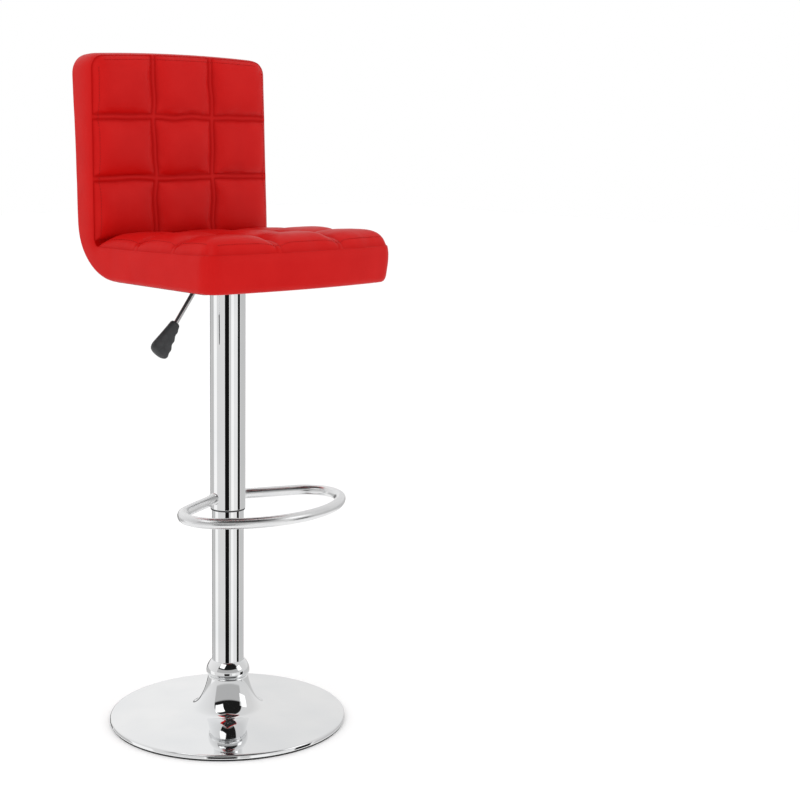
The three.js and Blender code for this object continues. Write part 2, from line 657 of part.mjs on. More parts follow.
// The seat from above: wider towards its bowed front edge, with rounded corners.
function planOutline(inset) {
  const half = SEAT_HALF_WIDTH - inset;
  const rearHalf = BACK_HALF_WIDTH - inset;
  const corner = SEAT_CORNER_Y + inset;
  const bow = 2 * (SEAT_FRONT_Y + inset) - corner;
  const radius = SEAT_CORNER_RADIUS;
  const far = 300;
  const shape = new THREE.Shape();
  shape.moveTo(rearHalf, far);
  shape.lineTo(-rearHalf, far);
  shape.lineTo(-rearHalf, BEND_CENTRE_Y);
  shape.lineTo(-half, corner + radius);
  shape.quadraticCurveTo(-half, corner, radius - half, corner - 3);
  shape.quadraticCurveTo(0, bow + 3, half - radius, corner - 3);
  shape.quadraticCurveTo(half, corner, half, corner + radius);
  shape.lineTo(rearHalf, BEND_CENTRE_Y);
  return toSolid(extrude(shape, 500, 8).translate(0, 0, SEAT_UNDERSIDE_Z - 50));
}

// The seat from the front: slightly narrower at the top, with rounded top corners.
function frontOutline(inset) {
  const wide = SEAT_HALF_WIDTH + 10;
  const seatTop = SEAT_CREST_Z + 1;
  const low = BACK_HALF_WIDTH - inset;
  const high = BACK_TOP_HALF_WIDTH - inset;
  const top = BACK_CORNER_Z - inset;
  const crown = 2 * (BACK_TOP_Z - inset) - top;
  const radius = BACK_CORNER_RADIUS;
  const shape = new THREE.Shape();
  shape.moveTo(-wide, SEAT_UNDERSIDE_Z - 20);
  shape.lineTo(wide, SEAT_UNDERSIDE_Z - 20);
  shape.lineTo(wide, seatTop);
  shape.lineTo(low, seatTop);
  shape.lineTo(high, top - radius);
  shape.quadraticCurveTo(high, top, high - radius, top);
  shape.quadraticCurveTo(0, crown, radius - high, top);
  shape.quadraticCurveTo(-high, top, -high, top - radius);
  shape.lineTo(-low, seatTop);
  shape.lineTo(-wide, seatTop);
  return toSolid(extrude(shape, 600, 6).applyMatrix4(ALONG_Y).translate(0, 300, 0));
}

// A side profile pushed across the stool, trimmed to the seat's outlines less an inset.
function acrossSeat(profile, inset) {
  const width = 2 * SEAT_HALF_WIDTH + 20;
  const pushed = extrude(profile, width, 10).applyMatrix4(ALONG_X).translate(-width / 2, 0, 0);
  return toSolid(pushed).intersect(planOutline(inset)).intersect(frontOutline(inset));
}

function bendPoint(angle, depth) {
  const radius = BEND_RADIUS - depth;
  return [BEND_CENTRE_Y + radius * Math.cos(angle), BEND_CENTRE_Z + radius * Math.sin(angle)];
}

const SPLIT_ANGLE = -Math.PI / 4; // where the two cushions part on the outer bend

function seatProfile() {
  const crest = 14;
  const shape = new THREE.Shape();
  shape.moveTo(SEAT_FRONT_Y - 4, SEAT_UNDERSIDE_Z);
  shape.lineTo(BEND_CENTRE_Y, SEAT_UNDERSIDE_Z);
  shape.absarc(BEND_CENTRE_Y, BEND_CENTRE_Z, BEND_RADIUS, -Math.PI / 2, SPLIT_ANGLE, false);
  shape.lineTo(JUNCTION_Y, SEAT_CREST_Z - 1);
  shape.lineTo(JUNCTION_Y - crest, SEAT_CREST_Z);
  shape.lineTo(SEAT_FRONT_Y + 2 * crest, SEAT_CREST_Z);
  shape.quadraticCurveTo(SEAT_FRONT_Y, SEAT_CREST_Z, SEAT_FRONT_Y - 4, SEAT_CREST_Z - crest);
  return shape;
}

function backProfile() {
  const split = 1; // clearance between the cushions
  const [splitY, splitZ] = bendPoint(SPLIT_ANGLE, 0);
  const tangentY = BEND_CENTRE_Y + BEND_RADIUS * Math.cos(RECLINE);
  const tangentZ = BEND_CENTRE_Z - BEND_RADIUS * Math.sin(RECLINE);
  const high = BACK_TOP_Z + 10;
  const shape = new THREE.Shape();
  shape.moveTo(JUNCTION_Y + split, SEAT_CREST_Z + split);
  shape.lineTo(splitY + split, splitZ + split);
  shape.absarc(BEND_CENTRE_Y, BEND_CENTRE_Z, BEND_RADIUS, SPLIT_ANGLE + 0.02, -RECLINE, false);
  shape.lineTo(tangentY + (high - tangentZ) * Math.tan(RECLINE), high);
  shape.lineTo(BACK_FACE_Y + BACK_FACE_LEAN, high);
  shape.lineTo(BACK_FACE_Y, SEAT_CREST_Z + 20);
  return shape;
}

function seatShell() {
  const boardOuter = COVER_THICKNESS + GAP;
  const boardInner = boardOuter + BOARD_THICKNESS;
  const room = 0.5; // between the board and the foam round it
  const pocket = acrossSeat(
    shellBand(-3, boardInner + room, SEAT_FRONT_Y, BOARD_TOP_Z + room), BOARD_INSET - room,
  );
  let board = acrossSeat(shellBand(boardOuter, boardInner, SEAT_FRONT_Y, BOARD_TOP_Z), BOARD_INSET);
  let foam = acrossSeat(seatProfile(), 0).subtract(pocket);
  const flangeTop = SEAT_UNDERSIDE_Z + boardInner + 2;
  for (const [, x, y] of boltPlaces()) {
    const barrel = cylinderAlongZ(TEE_BARREL_RADIUS + GAP, SEAT_UNDERSIDE_Z, flangeTop);
    const flange = cylinderAlongZ(TEE_FLANGE_RADIUS + room, SEAT_UNDERSIDE_Z + boardInner, flangeTop);
    board = board.subtract(toSolid(barrel.translate(x, y, 0)));
    foam = foam.subtract(toSolid(flange.translate(x, y, 0)));
  }
  const back = acrossSeat(backProfile(), 0).subtract(pocket);
  const rear = acrossSeat(shellBand(0, COVER_THICKNESS, BEND_CENTRE_Y, BOARD_TOP_Z), BOARD_INSET);
  return [
    part('seat_board', toGeometry(board), PLYWOOD),
    part('seat_cushion', toGeometry(foam), RED_LEATHER),
    part('back_cushion', toGeometry(back), RED_LEATHER),
    part('rear_cover', toGeometry(rear), RED_LEATHER),
    dustCover(),
  ];
}

// The cloth under the seat, which meets the rear cover where the bend starts.
function dustCover() {
  const rearEdge = BEND_CENTRE_Y - GAP;
  const length = rearEdge - SEAT_FRONT_Y;
  const bottom = SEAT_UNDERSIDE_Z;
  const top = bottom + COVER_THICKNESS;
  const sheet = block(2 * SEAT_HALF_WIDTH, length, bottom, top).translate(0, rearEdge - length / 2, 0);
  let solid = toSolid(sheet).intersect(planOutline(BOARD_INSET));
  for (const [, x, y] of boltPlaces()) {
    const hole = cylinderAlongZ(TEE_BARREL_RADIUS + GAP, bottom - 1, top + 1);
    solid = solid.subtract(toSolid(hole.translate(x, y, 0)));
  }
  return part('dust_cover', toGeometry(solid), NON_WOVEN);
}

// ---- Assembly ----

const stool = group(
  floorRing(),
  ballastPlate(),
  baseShell(),
  baseHub(),
  collarRing(),
  column(),
  bearingWasher('bearing_lower_washer', BEARING_Z),
  ballCage(),
  bearingWasher('bearing_upper_washer', UPPER_WASHER_Z),
  pistonRod(),
  pistonParts(),
  pressureTube(),
  rodGuide(),
  valveBody(),
  releasePin(),
  sleeveParts(),
  footrestRing(),
  mechanismChannel(),
  mountingPlate(),
  seatFasteners(),
  leverRod(),
  leverGrip(),
  pivotParts(),
  seatShell(),
);

export default stool;
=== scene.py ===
"""Adjustable swivel stool: fine surfaces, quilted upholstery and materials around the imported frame.

Metres, +Z up, the sitter faces -Y. Each visible piece rides on the CAD body that carries it.
"""

import json
import math

import bmesh
import bpy
import numpy as np
from mathutils import Matrix, Vector, noise


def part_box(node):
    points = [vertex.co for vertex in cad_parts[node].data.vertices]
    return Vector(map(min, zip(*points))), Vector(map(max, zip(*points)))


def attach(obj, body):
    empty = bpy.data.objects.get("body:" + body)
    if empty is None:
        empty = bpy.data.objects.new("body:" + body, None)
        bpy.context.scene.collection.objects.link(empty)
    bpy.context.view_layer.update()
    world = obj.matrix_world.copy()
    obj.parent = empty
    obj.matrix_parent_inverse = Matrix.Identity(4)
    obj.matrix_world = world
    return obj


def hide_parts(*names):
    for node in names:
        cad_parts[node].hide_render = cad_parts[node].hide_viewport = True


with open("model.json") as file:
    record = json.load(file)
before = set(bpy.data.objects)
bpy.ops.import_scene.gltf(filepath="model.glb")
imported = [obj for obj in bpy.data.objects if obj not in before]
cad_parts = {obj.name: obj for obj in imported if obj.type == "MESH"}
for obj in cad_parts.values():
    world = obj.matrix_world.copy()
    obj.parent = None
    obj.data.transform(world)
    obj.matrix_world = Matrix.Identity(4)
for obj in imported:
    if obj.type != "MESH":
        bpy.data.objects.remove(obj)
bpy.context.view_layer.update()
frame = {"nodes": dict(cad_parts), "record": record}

MM = 0.001
TAU = 2 * math.pi


# ---- Mesh helpers ----


def add_object(name, data):
    made = bpy.data.objects.new(name, data)
    bpy.context.scene.collection.objects.link(made)
    return made


def add_mesh(name, points, faces):
    mesh = bpy.data.meshes.new(name)
    mesh.from_pydata([tuple(map(float, p)) for p in points], [], [tuple(f) for f in faces])
    mesh.update()
    mesh.shade_smooth()
    return add_object(name, mesh)


def grid_faces(rows, columns, start=0, wrap=False):
    """Quads of a grid of points listed row by row; wrap joins the last column to the first."""
    faces = []
    for r in range(rows - 1):
        for c in range(columns if wrap else columns - 1):
            d = (c + 1) % columns
            low, high = start + r * columns, start + (r + 1) * columns
            faces.append((low + c, low + d, high + d, high + c))
    return faces


def tube_faces(rings, sides, start=0):
    """Faces of a tube made of rings of points, closed at both ends."""
    last = start + (rings - 1) * sides
    ends = [tuple(start + s for s in reversed(range(sides))), tuple(range(last, last + sides))]
    return grid_faces(rings, sides, start, wrap=True) + ends


def thin_sheet_faces(rows, columns):
    """Faces of a thin closed sheet: two layers of a grid, joined all round their rim."""
    size = rows * columns
    rim = list(range(columns)) + [r * columns + columns - 1 for r in range(1, rows)]
    rim += [size - columns + c for c in reversed(range(columns - 1))]
    rim += [r * columns for r in reversed(range(1, rows - 1))]
    front = grid_faces(rows, columns)
    rear = [tuple(size + v for v in reversed(face)) for face in front]
    return front + rear + [(b, a, a + size, b + size) for a, b in zip(rim, rim[1:] + rim[:1])]


def corner_arc(a, corner, b, steps):
    """Points of an arc from a to b that leans into the corner."""
    shares = np.linspace(0, 1, steps + 1)
    return [a * (1 - t) ** 2 + corner * 2 * t * (1 - t) + b * t ** 2 for t in shares]


def rounded(outline, radius):
    """A closed outline with each corner turned into an arc, and a support point beside each arc."""
    result = []
    count = len(outline)
    for i, corner in enumerate(outline):
        here = Vector(corner)
        back, ahead = Vector(outline[i - 1]) - here, Vector(outline[(i + 1) % count]) - here
        reach = min(radius, back.length * 0.4, ahead.length * 0.4)
        a, b = here + back.normalized() * reach, here + ahead.normalized() * reach
        result.append(a + back.normalized() * min(reach, back.length * 0.08))
        result += corner_arc(a, here, b, 4)
        result.append(b + ahead.normalized() * min(reach, ahead.length * 0.08))
    return result


def lathe(name, outline, segments):
    """A closed solid of revolution about Z. The outline lists (radius, z) all the way round."""
    turn = [TAU * s / segments for s in range(segments)]
    points = [(r * math.cos(t), r * math.sin(t), z) for r, z in outline for t in turn]
    last = (len(outline) - 1) * segments
    faces = grid_faces(len(outline), segments, wrap=True)
    for s in range(segments):
        n = (s + 1) % segments
        faces.append((last + s, last + n, n, s))
    return add_mesh(name, points, faces)


def distances(path):
    """How far along a path each of its points lies."""
    steps = [(b - a).length for a, b in zip(path, path[1:])]
    return np.concatenate([[0], np.cumsum(steps)])


def curve_points(knots, per_span):
    """A centripetal Catmull-Rom curve through the knots."""
    knots = [Vector(k) for k in knots]
    ends = [knots[0] * 2 - knots[1], *knots, knots[-1] * 2 - knots[-2]]
    result = []
    for a, b, c, d in zip(ends, ends[1:], ends[2:], ends[3:]):
        t1 = (b - a).length ** 0.5
        t2 = t1 + (c - b).length ** 0.5
        t3 = t2 + (d - c).length ** 0.5
        for k in range(per_span):
            t = t1 + (t2 - t1) * k / per_span
            p = a.lerp(b, t / t1)
            q = b.lerp(c, (t - t1) / (t2 - t1))
            r = c.lerp(d, (t - t2) / (t3 - t2))
            p, q = p.lerp(q, t / t2), q.lerp(r, (t - t1) / (t3 - t1))
            result.append(p.lerp(q, (t - t1) / (t2 - t1)))
    return [*result, knots[-1]]


def sweep(name, path, radius_at, sides, up):
    """A tube along a path, closed at both ends; radius_at takes the distance from the start."""
    points = []
    for i, (centre, along) in enumerate(zip(path, distances(path))):
        tangent = (path[min(i + 1, len(path) - 1)] - path[max(i - 1, 0)]).normalized()
        across = tangent.cross(up).normalized()
        high = across.cross(tangent)
        radius = radius_at(along)
        for s in range(sides):
            turn = TAU * s / sides
            points.append(centre + (across * math.cos(turn) + high * math.sin(turn)) * radius)
    return add_mesh(name, points, tube_faces(len(path), sides))


def rounded_ends(path, radius, edge):
    """A tube's radius by the distance from its start, with a rounded edge at both ends."""
    total = distances(path)[-1]

    def radius_at(along):
        inside = max(edge - min(along, total - along), 0)
        return radius - edge + math.sqrt(max(edge ** 2 - inside ** 2, 0))

    return radius_at


def outward(mesh):
    """Turns a closed mesh's faces out, whichever way round its outline was drawn."""
    copy = bmesh.new()
    copy.from_mesh(mesh)
    if copy.calc_volume(signed=True) < 0:
        mesh.flip_normals()
    copy.free()


def place(piece, body, slot, *nodes, material=None):
    """Finishes a piece: its faces, its material, the body that carries it and the nodes it replaces."""
    outward(piece.data)
    piece.data.materials.append(material or SLOT_MATERIALS[slot])
    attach(piece, body)
    if nodes:
        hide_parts(*nodes)


# ---- Materials ----


def rgba(colour):
    """A colour with its alpha, from three parts or from one grey level."""
    return (*colour, 1) if isinstance(colour, tuple) else (colour, colour, colour, 1)


class Nodes:
    """Adds nodes to one node tree."""

    def __init__(self, tree):
        self.tree = tree

    def node(self, kind, **values):
        made = self.tree.nodes.new(kind)
        for key, value in values.items():
            if hasattr(made, key):
                setattr(made, key, value)
            else:
                made.inputs[key.replace("_", " ")].default_value = value
        return made

    def link(self, source, target):
        self.tree.links.new(source, target)

    def ramp(self, source, stops):
        """Colours or greys along a value, at up to 32 stops."""
        made = self.node("ShaderNodeValToRGB")
        elements = made.color_ramp.elements
        while len(elements) < len(stops):
            elements.new(0.5)
        for element, (position, colour) in zip(elements, stops):
            element.position = position
            element.color = rgba(colour)
        self.link(source, made.inputs["Fac"])
        return made.outputs["Color"]

    def mix(self, factor, a, b):
        """From a to b, which are colours, greys or the outputs of other nodes."""
        made = self.node("ShaderNodeMix", data_type="RGBA")
        self.link(factor, made.inputs["Factor"])
        for value, name in ((a, "A"), (b, "B")):
            socket = next(s for s in made.inputs if s.name == name and s.type == "RGBA")
            if isinstance(value, bpy.types.NodeSocket):
                self.link(value, socket)
            else:
                socket.default_value = rgba(value)
        return next(s for s in made.outputs if s.type == "RGBA")


class Shader(Nodes):
    """Builds one material around a Principled shader."""

    def __init__(self, name, **sockets):
        self.material = bpy.data.materials.new(name)
        self.material.use_nodes = True
        super().__init__(self.material.node_tree)
        self.surface = self.tree.nodes["Principled BSDF"]
        self.spot = self.node("ShaderNodeTexCoord").outputs["Object"]
        for socket, value in sockets.items():
            self.surface.inputs[socket.replace("_", " ")].default_value = value

    def noise(self, scale, detail, roughness=0.55, stretch=None):
        made = self.node("ShaderNodeTexNoise", Scale=scale, Detail=detail, Roughness=roughness)
        spot = self.spot
        if stretch:
            mapping = self.node("ShaderNodeMapping", Scale=stretch)
            self.link(spot, mapping.inputs["Vector"])
            spot = mapping.outputs["Vector"]
        self.link(spot, made.inputs["Vector"])
        return made.outputs["Fac"]

    def cells(self, scale):
        made = self.node("ShaderNodeTexVoronoi", Scale=scale)
        self.link(self.spot, made.inputs["Vector"])
        return made.outputs["Distance"]

    def spread(self, source, low, high):
        made = self.node("ShaderNodeMapRange", To_Min=low, To_Max=high)
        self.link(source, made.inputs["Value"])
        return made.outputs["Result"]

    def bumps(self, *layers):
        """Bump layers of (height, depth in metres, strength), each on top of the one before."""
        normal = None
        for height, depth, strength in layers:
            made = self.node("ShaderNodeBump", Distance=depth, Strength=strength)
            self.link(height, made.inputs["Height"])
            if normal is not None:
                self.link(normal, made.inputs["Normal"])
            normal = made.outputs["Normal"]
        self.link(normal, self.surface.inputs["Normal"])

    def colour(self, source, *stops):
        """The base colour: a ramp of the given stops along the source, or the source itself."""
        self.link(self.ramp(source, stops) if stops else source, self.surface.inputs["Base Color"])

    def roughness(self, source, low, high):
        self.link(self.spread(source, low, high), self.surface.inputs["Roughness"])


def chrome_material():
    look = Shader("chrome", Metallic=1.0)
    look.colour(look.noise(9, 2), (0.3, (0.86, 0.87, 0.88)), (0.7, (0.93, 0.93, 0.93)))
    look.roughness(look.noise(60, 4), 0.02, 0.055)
    look.bumps((look.noise(700, 2, stretch=(1, 1, 0.05)), 0.01 * MM, 0.25))
    return look.material


def satin_chrome_material():
    """The footrest's plating, a little duller than the column's."""
    look = Shader("satin_chrome", Metallic=1.0)
    look.colour(look.noise(12, 3), (0.3, (0.80, 0.80, 0.81)), (0.7, (0.86, 0.86, 0.86)))
    look.roughness(look.noise(80, 4), 0.20, 0.30)
    look.bumps((look.noise(900, 2), 0.01 * MM, 0.3))
    return look.material


def steel_material():
    look = Shader("zinc_steel", Metallic=1.0)
    look.colour(look.noise(90, 4), (0.3, (0.4032, 0.4104, 0.4176)), (0.65, (0.56, 0.57, 0.58)))
    look.roughness(look.noise(240, 3), 0.24, 0.46)
    look.bumps((look.noise(1500, 2), 0.03 * MM, 0.4))
    return look.material


def painted_steel_material():
    look = Shader("black_painted_steel", Coat_Weight=0.15)
    wear = look.noise(34, 6)
    look.colour(wear, (0.35, (0.010, 0.010, 0.011)), (0.75, (0.024, 0.024, 0.026)))
    look.roughness(look.noise(160, 3), 0.34, 0.55)
    look.bumps((look.cells(900), 0.05 * MM, 0.3), (wear, 0.1 * MM, 0.2))
    return look.material


def rubber_material():
    look = Shader("rubber", Specular_IOR_Level=0.35)
    look.colour(look.noise(120, 4), (0.3, (0.010, 0.010, 0.010)), (0.8, (0.028, 0.028, 0.027)))
    look.roughness(look.noise(300, 3), 0.66, 0.9)
    look.bumps((look.noise(1800, 3), 0.06 * MM, 0.5))
    return look.material


def plastic_material(name, dark, light):
    look = Shader(name, Specular_IOR_Level=0.45)
    look.colour(look.noise(140, 4), (0.3, dark), (0.75, light))
    look.roughness(look.noise(420, 3), 0.36, 0.56)
    look.bumps((look.cells(1100), 0.08 * MM, 0.45))
    return look.material


def plywood_material():
    look = Shader("plywood")
    grain = look.noise(9, 6, 0.65, stretch=(14, 1, 1))
    veneer = look.noise(2, 2, stretch=(1, 1, 320))
    rings = look.ramp(grain, [(0.3, (0.42, 0.24, 0.10)), (0.7, (0.66, 0.44, 0.22))])
    look.colour(look.mix(look.spread(veneer, 0.0, 0.5), rings, (0.50, 0.31, 0.14)))
    look.roughness(grain, 0.55, 0.8)
    look.bumps((grain, 0.2 * MM, 0.5))
    return look.material


def non_woven_material():
    look = Shader("non_woven", Specular_IOR_Level=0.15, Sheen_Weight=0.2, Roughness=0.92)
    fibres = look.noise(900, 5, 0.75, stretch=(1, 0.35, 1))
    dots = look.cells(420)
    look.colour(fibres, (0.3, (0.008, 0.008, 0.009)), (0.75, (0.030, 0.030, 0.032)))
    look.bumps((fibres, 0.15 * MM, 0.6), (dots, 0.2 * MM, 0.5))
    return look.material


RED = (0.53, 0.0040, 0.0034)
# Painted shade: the darker red laid into the seams and creases of the cover.
SEAM_SHADE_RED = (0.34, 0.0012, 0.0012)
PALE_RED = (0.57, 0.0065, 0.0055)


def leather_material():
    """Smooth coated leather: fine pebbles, faint mottling, and painted shade that deepens the colour down
    in the seams.
    """
    look = Shader("red_leather")
    mottle = look.ramp(look.noise(22, 5), [(0.3, RED), (0.75, PALE_RED)])
    # Painted shade: along the seam weight the colour turns to the darker red, and the specular level falls
    # to nothing.
    seam = look.node("ShaderNodeAttribute", attribute_name="seam").outputs["Fac"]
    look.colour(look.mix(seam, mottle, SEAM_SHADE_RED))
    look.link(look.spread(seam, 0.11, 0.0), look.surface.inputs["Specular IOR Level"])
    look.roughness(look.noise(70, 4), 0.36, 0.50)
    pebbles = look.cells(820)
    creases = look.noise(260, 5, 0.7)
    unevenness = look.noise(45, 3)
    look.bumps((unevenness, 0.5 * MM, 0.25), (creases, 0.12 * MM, 0.5), (pebbles, 0.10 * MM, 0.5))
    return look.material


def thread_material():
    look = Shader("red_thread", Specular_IOR_Level=0.15, Roughness=0.7)
    twist = look.noise(2600, 2, stretch=(1, 1, 3))
    look.colour(twist, (0.3, (0.28, 0.002, 0.002)), (0.8, (0.46, 0.006, 0.005)))
    look.bumps((twist, 0.1 * MM, 0.6))
    return look.material


SATIN_CHROME = satin_chrome_material()
LEATHER = leather_material()
THREAD = thread_material()
SLOT_MATERIALS = {
    "chrome": chrome_material(),
    "steel": steel_material(),
    "black_steel": painted_steel_material(),
    "rubber": rubber_material(),
    "black_plastic": plastic_material("black_plastic", (0.030, 0.031, 0.033), (0.052, 0.053, 0.056)),
    "white_plastic": plastic_material("acetal", (0.60, 0.60, 0.56), (0.72, 0.72, 0.68)),
    "red_leather": LEATHER,
    "foam": LEATHER,
    "plywood": plywood_material(),
    "non_woven": non_woven_material(),
}


def finish_cad_nodes():
    """Every CAD node gets the procedural material of its slot."""
    slots = {row["node"]: row["material_slot"] for row in frame["record"]["subparts"]}
    for name, node in frame["nodes"].items():
        node.data.materials.clear()
        node.data.materials.append(SLOT_MATERIALS[slots[name]])


# ---- Base ----


def bezier(a, b, c, d, steps):
    """Points of a cubic curve from a to d."""
    t = np.linspace(0, 1, steps)[:, None]
    a, b, c, d = np.array([a, b, c, d], float)
    curve = a * (1 - t) ** 3 + 3 * b * t * (1 - t) ** 2 + 3 * c * t ** 2 * (1 - t) + d * t ** 3
    return list(map(tuple, curve))


def tube_wall(node, wall, edge):
    """The outline of an upright tube as wide and tall as a CAD node, with rounded edges."""
    low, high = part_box(node)
    inner = high.x - wall
    return rounded([(inner, low.z), (high.x, low.z), (high.x, high.z), (inner, high.z)], edge)


def base_shell():
    """The spun chrome trumpet: rolled rim, low dome, and a neck that sweeps up to the collar."""
    low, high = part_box("base_shell")
    rim, neck_top, foot = high.x, high.z, low.z
    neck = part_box("collar_ring")[1].x - 3.1 * MM
    sheet = 2 * MM
    crest = 10.5 * MM
    roll = 3.5 * MM
    lip = [
        (rim - roll + roll * math.cos(t), crest - roll + roll * math.sin(t))
        for t in np.linspace(0, math.pi / 2, 8)
    ]
    turn, turn_z = rim - 129 * MM, crest + 10 * MM  # where the dome turns up into the throat
    dome = bezier(
        (rim - roll - 1 * MM, crest), (rim - 45 * MM, crest + 3.1 * MM),
        (rim - 100 * MM, crest + 6.5 * MM), (turn, turn_z), 26,
    )
    throat = bezier(
        (turn, turn_z), (turn - 14 * MM, turn_z + 2.2 * MM),
        (neck + 5.5 * MM, neck_top - 30.5 * MM), (neck, neck_top), 30,
    )
    outer = [(rim, foot), (rim, foot + 1 * MM), *lip, *dome, *throat[1:]]
    inner = [(r - sheet, z - sheet if z < neck_top - sheet else z) for r, z in reversed(outer[4:])]
    shell = lathe("base_trumpet", [*outer, *inner, (rim - sheet, foot)], 240)
    place(shell, "base", "chrome", "base_shell")


def floor_ring():
    outline = tube_wall("floor_ring", 22 * MM, 0.8 * MM)
    place(lathe("rubber_floor_ring", outline, 200), "base", "rubber", "floor_ring")


def collar_ring():
    """The chrome trim over the column's foot: one bulging ring that overhangs the neck."""
    low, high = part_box("collar_ring")
    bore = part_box("column_tube")[1].x + 0.3 * MM
    outer, foot, top = high.x, low.z, high.z
    widest = foot + 8.6 * MM
    belly = bezier(
        (outer - 3.2 * MM, foot + 0.4 * MM), (outer - 0.6 * MM, foot + 1.8 * MM),
        (outer, foot + 4.5 * MM), (outer, widest), 12,
    )
    shoulder = bezier(
        (outer, widest), (outer, foot + 14 * MM),
        (outer - 3.4 * MM, top - 5.5 * MM), (bore + 1.2 * MM, top - 0.4 * MM), 18,
    )
    top_edge = [(bore + 0.6 * MM, top), (bore, top)]
    outline = [(bore, foot), (outer - 4 * MM, foot), *belly, *shoulder[1:], *top_edge]
    place(lathe("collar_trim", outline, 160), "base", "chrome", "collar_ring")


def column_tube():
    outline = tube_wall("column_tube", 2 * MM, 0.6 * MM)
    place(lathe("column_tube_fine", outline, 160), "base", "chrome", "column_tube")


# ---- Sleeve and footrest ----


def sleeve_tube():
    outline = tube_wall("sleeve_tube", 1.3 * MM, 0.5 * MM)
    place(lathe("sleeve_tube_fine", outline, 160), "seat_lift", "chrome", "sleeve_tube")


def sleeve_guide_ring():
    """The black ring in the sleeve's foot, with a flange under the sleeve's edge."""
    low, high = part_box("sleeve_guide_ring")
    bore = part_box("column_tube")[1].x + 0.35 * MM
    flange = low.z + 2.3 * MM
    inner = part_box("sleeve_tube")[1].x - 1.6 * MM
    outline = [(bore, low.z), (high.x, low.z), (high.x, flange), (inner, flange), (inner, high.z)]
    outline.append((bore, high.z))
    piece = lathe("sleeve_guide_ring_fine", rounded(outline, 0.3 * MM), 144)
    place(piece, "seat_lift", "black_plastic", "sleeve_guide_ring")


def footrest_ring():
    """One bent tube, with a fillet of weld where each end meets the sleeve."""
    low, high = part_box("footrest_ring")
    radius = (high.z - low.z) / 2
    level = (high.z + low.z) / 2
    half = high.x - radius
    reach = -low.y - radius
    side = [
        (20 * MM, 4 * MM), (60 * MM, -14 * MM), (100 * MM, -31 * MM), (half - 18 * MM, -48 * MM),
        (half, -80 * MM), (half - 7 * MM, -116 * MM), (half - 40 * MM, -150 * MM), (60 * MM, -174 * MM),
    ]  # from the sleeve round to near the middle of the front
    knots = [(-x, y, level) for x, y in side] + [(0, -reach, level)]
    knots += [(x, y, level) for x, y in reversed(side)]
    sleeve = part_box("sleeve_tube")[1].x
    path = [p for p in curve_points(knots, 14) if math.hypot(p.x, p.y) > sleeve - 0.6 * MM]
    total = distances(path)[-1]
    bead_height, bead_place, bead_width = 1.6 * MM, 1.6 * MM, 1.8 * MM

    def weld(along):
        near = min(along, total - along)
        bead = bead_height * math.exp(-((near - bead_place) / bead_width) ** 2)
        return radius * 0.995 + bead * (0.85 + 0.15 * math.sin(near * 4000))

    start = [path[0].lerp(path[1], t) for t in np.linspace(0, 1, 9)[:-1]]
    end = [path[-2].lerp(path[-1], t) for t in np.linspace(0, 1, 9)[1:]]
    piece = sweep("footrest_loop", start + path[1:-1] + end, weld, 40, Vector((0, 0, 1)))
    piece.visible_glossy = False
    place(piece, "seat_lift", "chrome", "footrest_ring", material=SATIN_CHROME)


# ---- Lever ----

LEVER_DROOP = math.radians(52.2)
LEVER_AIM = Vector((-math.cos(LEVER_DROOP), 0, -math.sin(LEVER_DROOP)))
pivot_low, pivot_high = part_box("lever_pivot_clip")
PIVOT = Vector(((pivot_low.x + pivot_high.x) / 2, 0, (pivot_low.z + pivot_high.z) / 2))
LEVER_BEND = Vector((-62 * MM, 0, PIVOT.z))
GRIP_START = 70 * MM  # along the rod from its bend
GRIP_LENGTH = 61 * MM


def lever_rod():
    """The rod runs level from the column to its bend, and then down into the grip."""
    radius = 4 * MM
    reach = 10 * MM
    before = LEVER_BEND + Vector((reach, 0, 0))
    after = LEVER_BEND + LEVER_AIM * reach
    straight = [Vector((x, 0, PIVOT.z)) for x in np.linspace(radius + 1 * MM, before.x, 14)]
    outer = [after + LEVER_AIM * d for d in np.linspace(0, GRIP_START + 12 * MM, 14)]
    path = straight[:-1] + corner_arc(before, LEVER_BEND, after, 13) + outer[1:]
    rod = sweep("lever_rod_fine", path, rounded_ends(path, radius, 1 * MM), 24, Vector((0, 1, 0)))
    place(rod, "release_lever", "chrome", "lever_rod")


def lever_boss():
    """The short cross tube that the pivot pin passes through."""
    bore, outer, half = 3.3 * MM, 7 * MM, 8 * MM
    outline = rounded([(bore, -half), (outer, -half), (outer, half), (bore, half)], 0.8 * MM)
    boss = lathe("lever_pivot_boss", outline, 48)
    boss.data.transform(Matrix.Translation(PIVOT) @ Matrix.Rotation(math.pi / 2, 4, "X"))
    place(boss, "release_lever", "steel")


